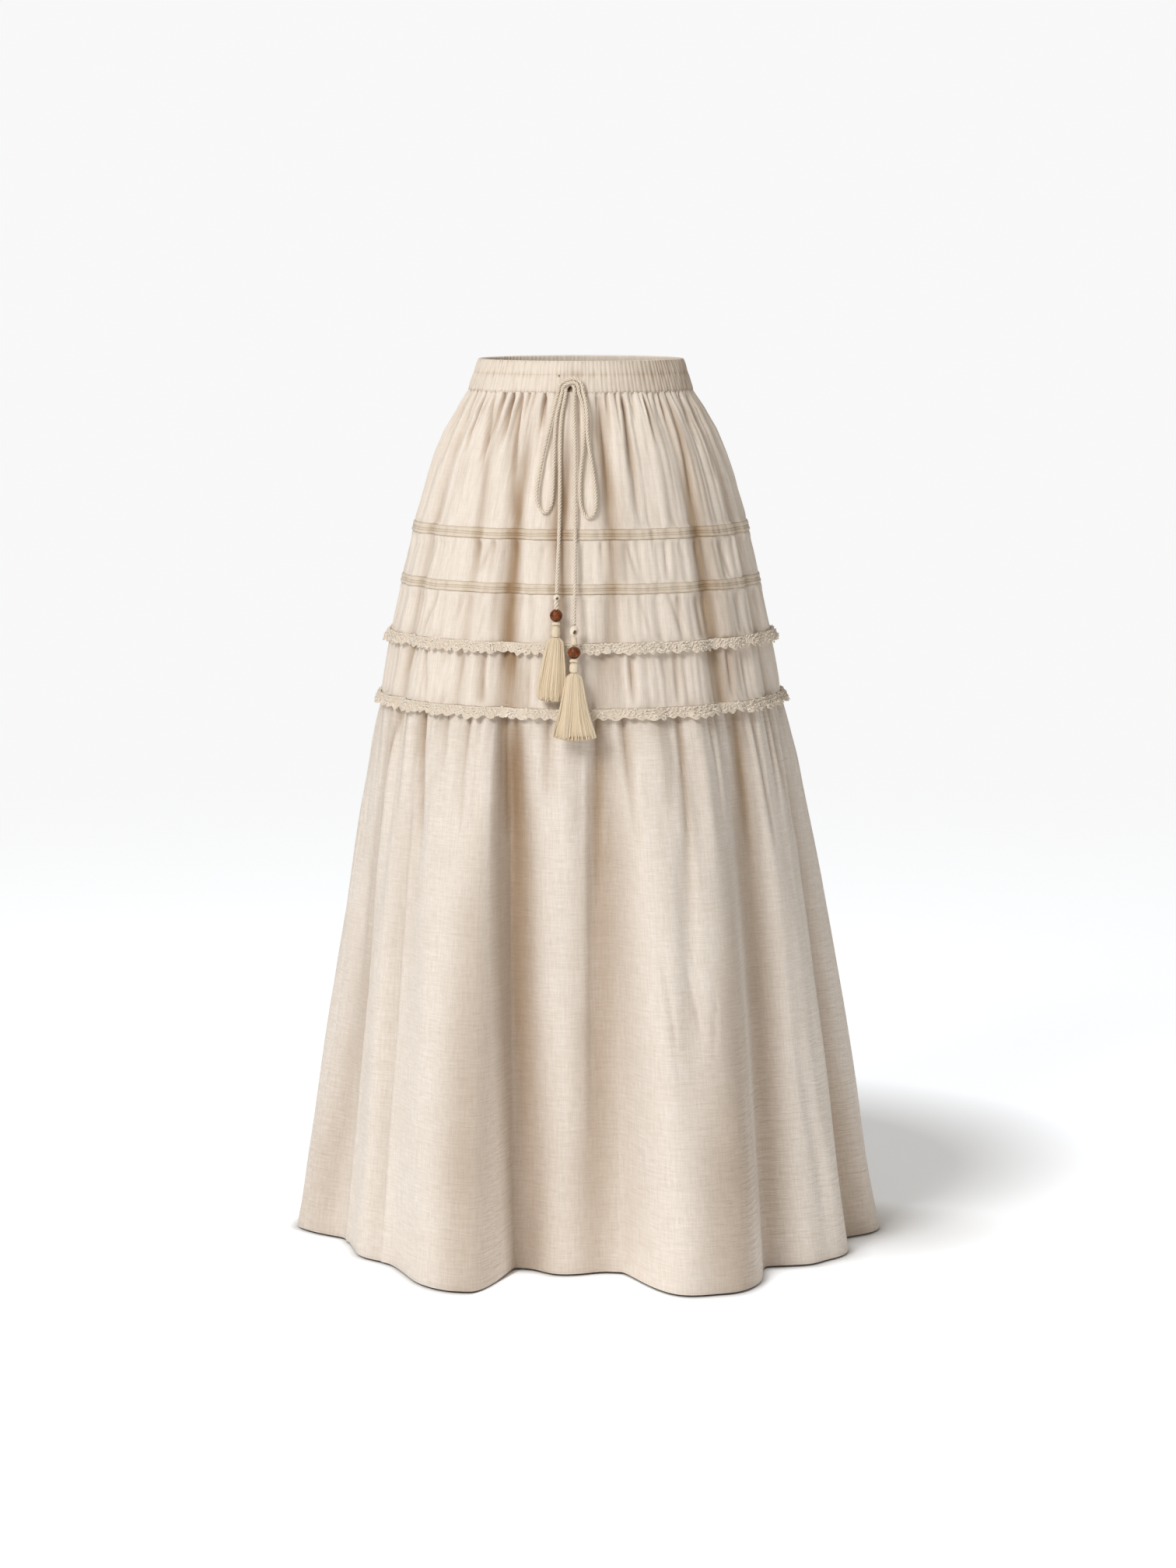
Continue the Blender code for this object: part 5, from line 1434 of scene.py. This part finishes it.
def make_tassel(side, top, bottom, turn):
    """One tassel: threads on a rising spiral, so that they fill its oval evenly."""
    rng = random.Random(TASSEL_SEED + len(side))
    length = (bottom - top).length
    share, width, depth = (np.array(column) for column in zip(*TASSEL_SHAPES[side]))
    lines, tones = [], []
    for k in range(THREADS):
        out = math.sqrt((k + 0.5) / THREADS)
        around = k * math.pi * (3.0 - math.sqrt(5.0)) + rng.uniform(-0.3, 0.3)
        across = out * math.cos(around)
        ahead = out * math.sin(around)
        reach = length * (1.0 - 0.05 * across ** 2) * rng.uniform(0.95, 1.0)
        sway = rng.uniform(-1.2, 1.2)
        phase = rng.uniform(0.0, 2.0 * math.pi)
        # The tone differs at random, and inner threads are darker: painted shade inside the hank.
        tone = rng.uniform(0.45, 1.0) * (0.35 + 0.65 * out ** 2)
        line = []
        for step in range(THREAD_POINTS):
            t = (step / (THREAD_POINTS - 1)) ** THREAD_EASE
            wave = sway * t * math.sin(5.0 * t + phase)
            x = across * np.interp(t, share, width) + TASSEL_LEAN[side] * t + wave
            y = ahead * np.interp(t, share, depth) + 0.5 * wave
            line.append(turn @ Vector((x, y, -t * reach)) + top)
            tones.append(tone)
        lines.append(line)
    obj = path_object(f"tassel_{side}_threads", lines, tone=np.array(tones))
    piece = run_tree(obj, THREAD_TREE, Radius=THREAD_DIAMETER / 2.0 * MM, Material=TASSEL_COTTON)
    for part in (make_tassel_core(side, top, length, turn), piece):
        finish_piece(part, "tassel_cotton", f"tassel_{side}")


for side in ("left", "right"):
    make_tassel(side, *ENDS[side][1:])

# %% [markdown]
# ## What a cord may do
# A cord on the real skirt can move.

print("Four stretches of cord")

# %% [markdown]
# ## Crochet frills
# A narrow frill of crocheted cotton is sewn into each of the two lower seams. It stands off the cloth
# and its free edge is scalloped. Crochet is made of loops that pull through each other, so the frill
# is a ruffled strip with rows of small loops on it, set by a node tree. Here and there a gap shows.

# %% Crochet loops
LOOP_RADIUS = 1.6
LOOP_YARN = 1.05
LOOP_SIDES = 8


def crochet_tree():
    """Set a small loop of yarn on each point, facing the way that the point says."""
    tree, given = geometry_tree("crochet_loops", Radius=0.0016, Yarn=0.001, Sides=8, Material=None)
    ring = add_node(tree, "GeometryNodeCurvePrimitiveCircle", {"Resolution": given["Sides"],
                                                               "Radius": given["Radius"]})
    section = add_node(tree, "GeometryNodeCurvePrimitiveCircle", {"Resolution": 3, "Radius": given["Yarn"]})
    loop = add_node(tree, "GeometryNodeCurveToMesh",
                    {"Curve": ring.outputs[0], "Profile Curve": section.outputs[0]}).outputs[0]
    facing = add_node(tree, "GeometryNodeInputNamedAttribute", {"Name": "facing"},
                      data_type="FLOAT_VECTOR").outputs["Attribute"]
    size = add_node(tree, "GeometryNodeInputNamedAttribute", {"Name": "size"}, data_type="FLOAT")
    turn = add_node(tree, "FunctionNodeAlignRotationToVector", {"Vector": facing}, axis="Z").outputs[0]
    placed = add_node(tree, "GeometryNodeInstanceOnPoints",
                      {"Points": given["Geometry"], "Instance": loop, "Rotation": turn,
                       "Scale": size.outputs["Attribute"]}).outputs[0]
    end_tree(tree, placed, given["Material"])
    return tree


CROCHET_COTTON = cotton_material("crocheted_cotton", "F3E9DC", "DCCCB7", 1.2, 0.3, "tone", 0.0, 1.0)
CROCHET_TREE = crochet_tree()
print("Crochet: loops of", LOOP_RADIUS, "mm radius")

# %% Frills
FRILL_COLUMNS = 760
FRILL_ROWS = 6
FRILL_LUMPS = 130
LOOP_ROWS = (0.2, 0.48, 0.78)
LOOPS_IN_ROW = 340
GAP_EVERY_MM = (12.0, 26.0)
GAP_RADIUS = 1.7


def tier_4_points(angle, z, lift):
    """Points that stand off the fourth tier."""
    sunk, _, free = tier_depth(TIERS[3], angle, z)
    return on_body(angle, z, side_ease(angle, z) + lift + 0.7 * free - sunk)


def flounce_top_points(angle, z, lift):
    """Points that stand off the top of the flounce."""
    return flounce_points(angle, z, lift, smooth=True)[0]


def frill_points(under, seam, seed, angle, share, proud=0.0):
    """The frill leaves the seam, stands out over the cloth under it and ruffles towards its edge."""
    lumps = gather_wave(angle * np.ones_like(share), gather_table(FRILL_LUMPS, seed))
    ruffle = unrest(angle, np.zeros_like(share), seed, ((3.5, 9.0), (1.0, 2.0)), 1.0)
    droop = unrest(angle, np.zeros_like(share), seed + 1, ((2.2, 14.0), (1.0, 2.0)), 0.7)
    z = seam - 1.0 - (TRIM_DROP - 4.0 + 3.4 * lumps + 1.4 * droop) * share
    lift = 1.0 + 3.2 * np.clip(share, 0.0, 1.0) ** 0.8 + (1.1 * ruffle + 2.6 * lumps) * share + proud
    return under(angle, z, lift)


def make_frill(node, under, seam, seed):
    """One frill: a ruffled strip, and the loops on it."""
    rng = random.Random(seed)
    angle = ring_angles(FRILL_COLUMNS)
    share = np.linspace(-0.04, 1.0, FRILL_ROWS)[:, None]
    points = frill_points(under, seam, seed, angle, share)
    around = arc_length(points[2])
    per_degree = around[-1] / 360.0
    gaps = []
    place = -90.0
    while place < 268.0:
        gaps.append((place, rng.uniform(0.3, 0.8), rng.uniform(0.7, 1.0)))
        place += rng.uniform(*GAP_EVERY_MM) / per_degree
    depth = np.zeros(points.shape[:2])
    for middle, low, deep in gaps:
        away = np.hypot(turned_by(angle, middle) * per_degree, (share - low) * TRIM_DROP)
        depth = np.maximum(depth, deep * hill(away, 2.6))
    points = frill_points(under, seam, seed, angle, share, 0.5 - 1.5 * depth)
    # The gaps sink the strip and, as painted shade, darken its colour.
    strip = grid_mesh(f"{node}_strip", points, around, -arc_length(points[:, 0]), depth, CROCHET_GROUND_GAP_SHADE,
                      closed=True)
    finish_piece(thicken(strip, 0.9), "crochet", node)

    places, sizes, facings, tones = [], [], [], []
    for row, level in enumerate(LOOP_ROWS):
        for k in range(LOOPS_IN_ROW):
            turn = -90.0 + 360.0 * (k + 0.5 * (row % 2) + rng.uniform(-0.25, 0.25)) / LOOPS_IN_ROW
            low = level + rng.uniform(-0.09, 0.09)
            near = min(gaps, key=lambda gap: abs(turned_by(turn, gap[0])))
            across, down = turned_by(turn, near[0]) * per_degree, (low - near[1]) * TRIM_DROP
            if math.hypot(across, down) < GAP_RADIUS:
                continue
            places.append((turn, low))
            sizes.append(rng.uniform(0.8, 1.2))
            tones.append(rng.uniform(0.55, 1.0))
            swing = math.radians(turn)
            facings.append([c + rng.uniform(-0.5, 0.5)
                            for c in (math.sin(swing), -math.cos(swing), -0.25)])
    turns, lows = np.array(places).T
    spots = frill_points(under, seam, seed, turns[None, :], lows[None, :], -0.1)[0]
    obj = path_object(f"{node}_loops", [[spot] for spot in spots], size=np.array(sizes),
                      tone=np.array(tones), facing=np.array(facings))
    loops = run_tree(obj, CROCHET_TREE, Radius=LOOP_RADIUS * MM, Yarn=LOOP_YARN * MM, Sides=LOOP_SIDES,
                     Material=CROCHET_COTTON)
    finish_piece(loops, "crochet", node)


# The ground is pale, and painted dark brown in its gaps, as shade.
CROCHET_GROUND_GAP_SHADE = cotton_material("crocheted_ground_gap_shade", "A88C6C", "EBDFCE", 1.2, 0.3, "fold", 0.25, 1.3)
make_frill("crochet_trim_1", tier_4_points, TRIM_1_SEAM, 81)
make_frill("crochet_trim_2", flounce_top_points, TRIM_2_SEAM, 85)

# %% [markdown]
# ## Stitches
# The machine stitches are what holds the skirt together: along the elastic's channel, under the
# casing, and around the turned-up hem. A node tree lays one short grain of thread after another along
# a line, with the pitch of a sewing machine.

# %% Stitches
STITCH_PITCH = 3.0
STITCH_THREAD = 0.45


def stitch_tree():
    """Lay grains of thread along a path."""
    tree, given = geometry_tree("machine_stitches", Pitch=0.003, Thread=0.00045, Material=None)
    curve = add_node(tree, "GeometryNodeMeshToCurve", {"Mesh": given["Geometry"]}).outputs[0]
    spots = add_node(tree, "GeometryNodeCurveToPoints", {"Curve": curve, "Length": given["Pitch"]},
                     mode="LENGTH")
    grain = add_node(tree, "GeometryNodeMeshIcoSphere", {"Radius": 1.0, "Subdivisions": 1}).outputs[0]
    long, wide = [add_node(tree, "ShaderNodeMath", {0: given[title], 1: share},
                           operation="MULTIPLY").outputs[0]
                  for title, share in (("Pitch", 0.4), ("Thread", 0.5))]
    size = add_node(tree, "ShaderNodeCombineXYZ", {0: wide, 1: wide, 2: long}).outputs[0]
    placed = add_node(tree, "GeometryNodeInstanceOnPoints",
                      {"Points": spots.outputs["Points"], "Instance": grain,
                       "Rotation": spots.outputs["Rotation"], "Scale": size}).outputs[0]
    end_tree(tree, placed, given["Material"])
    return tree


SEWING_THREAD = cotton_material("sewing_thread", "E2D0B4", "A98F6C", 0.4, 0.1, "tone", -1.0, 1.0)
STITCH_TREE = stitch_tree()


def stitch_line(name, points):
    """Stitches along a closed line of points."""
    line = path_object(name, [points], closed=True)
    finish_piece(run_tree(line, STITCH_TREE, Pitch=STITCH_PITCH * MM, Thread=STITCH_THREAD * MM,
                          Material=SEWING_THREAD), "linen")


def casing_line(z):
    """A line round the waistband at one height."""
    angle = ring_angles(WAIST_COLUMNS)
    return on_body(angle, z, 0.1 - rib_depth(angle, np.full(angle.shape, z)))[0]


def make_eyelet():
    """A small worked eyelet for the drawstring: an upright ring of thread round a hole, painted dark as
    shadow.
    """
    angle, z = EYELET
    spot = on_ellipse(np.array([angle]), *outline_at(z), WAIST_PROUD - 0.4, z)[0]
    out = Matrix.Rotation(math.radians(angle), 4, "Z") @ Matrix.Rotation(math.radians(90.0), 4, "X")
    place = Matrix.Translation(Vector(spot) * MM) @ out @ Matrix.Diagonal((0.55, 1.0, 0.45, 1.0))
    eyelet = turned_piece("worked_eyelet", knot_profile(2.0), place, KNOT_COTTON_HOLE_SHADE)
    # Painted shadow: the tone falls to dark brown in the eyelet's middle.
    tones = [math.hypot(*(place.inverted() @ v.co / MM).xy) / 3.2 for v in eyelet.data.vertices]
    eyelet.data.attributes.new("tone", "FLOAT", "POINT").data.foreach_set("value", tones)
    finish_piece(eyelet, "linen")


make_eyelet()
stitch_line("channel_stitches", casing_line(CHANNEL_LINE))
stitch_line("casing_stitches", casing_line(CASING_SEAM + 2.0))
stitch_line("hem_stitches", flounce_points(ring_angles(1600), np.array([[HEM + HEM_TURN_UP]]), 0.1)[0][0])

# %% [markdown]
# ## Light, floor and world
# A large soft light stands in front and to the left, a weaker one hangs above, and pale surroundings
# fill the shade. The floor is a white disc that fades out into the surroundings. It glows a little, so
# that it reads as white, and less behind the skirt and close to the hem, as a painted cast and contact
# shadow.

# %% Studio
KEY_PLACE = (-1.6, -2.7, 1.6)
KEY_SIZE = 1.2
KEY_POWER = 68.0
TOP_PLACE = (-0.3, -0.6, 1.9)
TOP_SIZE = 2.2
TOP_POWER = 15.0
SURROUND = 0.27
SURROUND_COLOR = (1.0, 0.93, 0.82)
FLOOR_Z = -0.9835
SHADE_PLACE = (0.12, 0.34, FLOOR_Z)        # painted shadow: the floor glows little here, behind the skirt
CONTACT_SHADOW_PLACE = (0.3, 0.05, FLOOR_Z)       # painted contact shadow: it glows least at the hem's right end
FRONT_SHADOW_PLACE = (-0.075, -0.262, FLOOR_Z)    # painted shadow: a little less in the valley left of the middle
#     painted shadows on the floor: place, distance at which the glow is least and full, and the least glow
PAINTED_SHADOW_PLACES = ((SHADE_PLACE, 0.34, 0.56, 0.24), (CONTACT_SHADOW_PLACE, 0.05, 0.26, 0.05),
              (FRONT_SHADOW_PLACE, 0.01, 0.08, 0.35))
FULL_GLOW = 0.72
#     painted contact shadow along the hem: metres outside the hem, share of the glow there
CONTACT_SHADOW = ((-0.004, 0.0), (0.004, 0.2), (0.012, 0.65), (0.03, 1.0))
FLOOR_RINGS = (0.6, 1.0, 2.0, 4.0, 8.0)


def add_world():
    """White surroundings: the backdrop is brighter than the light that it gives."""
    world = bpy.data.worlds.new("white_studio")
    bpy.context.scene.world = world
    world.use_nodes = True
    tree = world.node_tree
    seen = add_node(tree, "ShaderNodeLightPath").outputs["Is Camera Ray"]
    strength = add_node(tree, "ShaderNodeMapRange", {"Value": seen, "To Min": SURROUND, "To Max": 0.94})
    tree.links.new(strength.outputs[0], tree.nodes["Background"].inputs["Strength"])
    color = add_node(tree, "ShaderNodeMix", {0: seen, 6: (*SURROUND_COLOR, 1.0), 7: (1.0, 1.0, 1.0, 1.0)},
                     data_type="RGBA")
    tree.links.new(color.outputs[2], tree.nodes["Background"].inputs["Color"])


def add_softbox(name, place, size, power):
    """A large soft light, turned to the skirt."""
    data = bpy.data.lights.new(name, "AREA")
    data.size = size
    data.energy = power
    box = bpy.data.objects.new(name, data)
    box.location = place
    box.rotation_euler = (Vector((0.0, 0.0, -0.45)) - Vector(place)).to_track_quat("-Z", "Y").to_euler()
    show(box)


def add_floor():
    """A white floor that fades out towards its edge, with painted shadow: dim just outside the hem and behind
    the skirt.
    """
    steps = 360
    around = FULL_TURN * np.arange(steps) / steps
    hem = flounce_points(ring_angles(4 * steps), np.array([[HEM]]))[0][0, :, :2] * MM
    edge = np.interp(around, np.arctan2(hem[:, 1], hem[:, 0]), np.hypot(hem[:, 0], hem[:, 1]),
                     period=FULL_TURN)
    rings = [0.8 * edge] + [edge + shift for shift, _ in CONTACT_SHADOW]
    rings += [np.full(steps, radius) for radius in FLOOR_RINGS]
    shares = [0.0] * (steps + 1)
    for share in [share for _, share in CONTACT_SHADOW] + [1.0] * len(FLOOR_RINGS):
        shares += [share] * steps
    points = [(0.0, 0.0, FLOOR_Z)] + [(reach * math.cos(turn), reach * math.sin(turn), FLOOR_Z)
                                      for ring in rings for reach, turn in zip(ring, around)]
    faces = [(0, 1 + k, 1 + (k + 1) % steps) for k in range(steps)]
    faces += [[corner + 1 for corner in quad] for quad in quads_between(len(rings), steps)]
    material, tree, shader = new_material("white_studio_floor", {
        "Base Color": hex_color("F4F4F4"), "Roughness": 0.9, "Specular IOR Level": 0.0,
        "Emission Color": (0.9, 0.94, 1.0, 1.0)})
    place = add_node(tree, "ShaderNodeTexCoord").outputs["Object"]
    away = add_node(tree, "ShaderNodeVectorMath", {0: place}, operation="LENGTH").outputs["Value"]
    fade = add_node(tree, "ShaderNodeMapRange", {"Value": away, "From Min": 1.3, "From Max": 4.0,
                                                 "To Min": 1.0, "To Max": 0.0})
    tree.links.new(fade.outputs[0], shader.inputs["Alpha"])
    glow = 1.0
    for middle, start, end, least in PAINTED_SHADOW_PLACES:
        distance = add_node(tree, "ShaderNodeVectorMath", {0: place, 1: middle}, operation="DISTANCE")
        away = add_node(tree, "ShaderNodeMapRange", {"Value": distance.outputs["Value"], "From Min": start,
                                                     "From Max": end, "To Min": least, "To Max": FULL_GLOW})
        glow = add_node(tree, "ShaderNodeMath", {0: glow, 1: away.outputs[0]},
                        operation="MINIMUM").outputs[0]
    # Painted contact shadow: the glow falls off along the hem's edge.
    contact = add_node(tree, "ShaderNodeAttribute", attribute_name="contact").outputs["Fac"]
    glow = add_node(tree, "ShaderNodeMath", {0: glow, 1: contact}, operation="MULTIPLY").outputs[0]
    tree.links.new(glow, shader.inputs["Emission Strength"])
    mesh_object("studio_floor", points, [], faces, material, contact=np.array(shares))


add_world()
add_softbox("soft_key", KEY_PLACE, KEY_SIZE, KEY_POWER)
add_softbox("soft_top", TOP_PLACE, TOP_SIZE, TOP_POWER)
add_floor()
bpy.context.scene.view_settings.view_transform = "Standard"
print("Key light:", KEY_POWER, "watts; top light:", TOP_POWER, "watts")
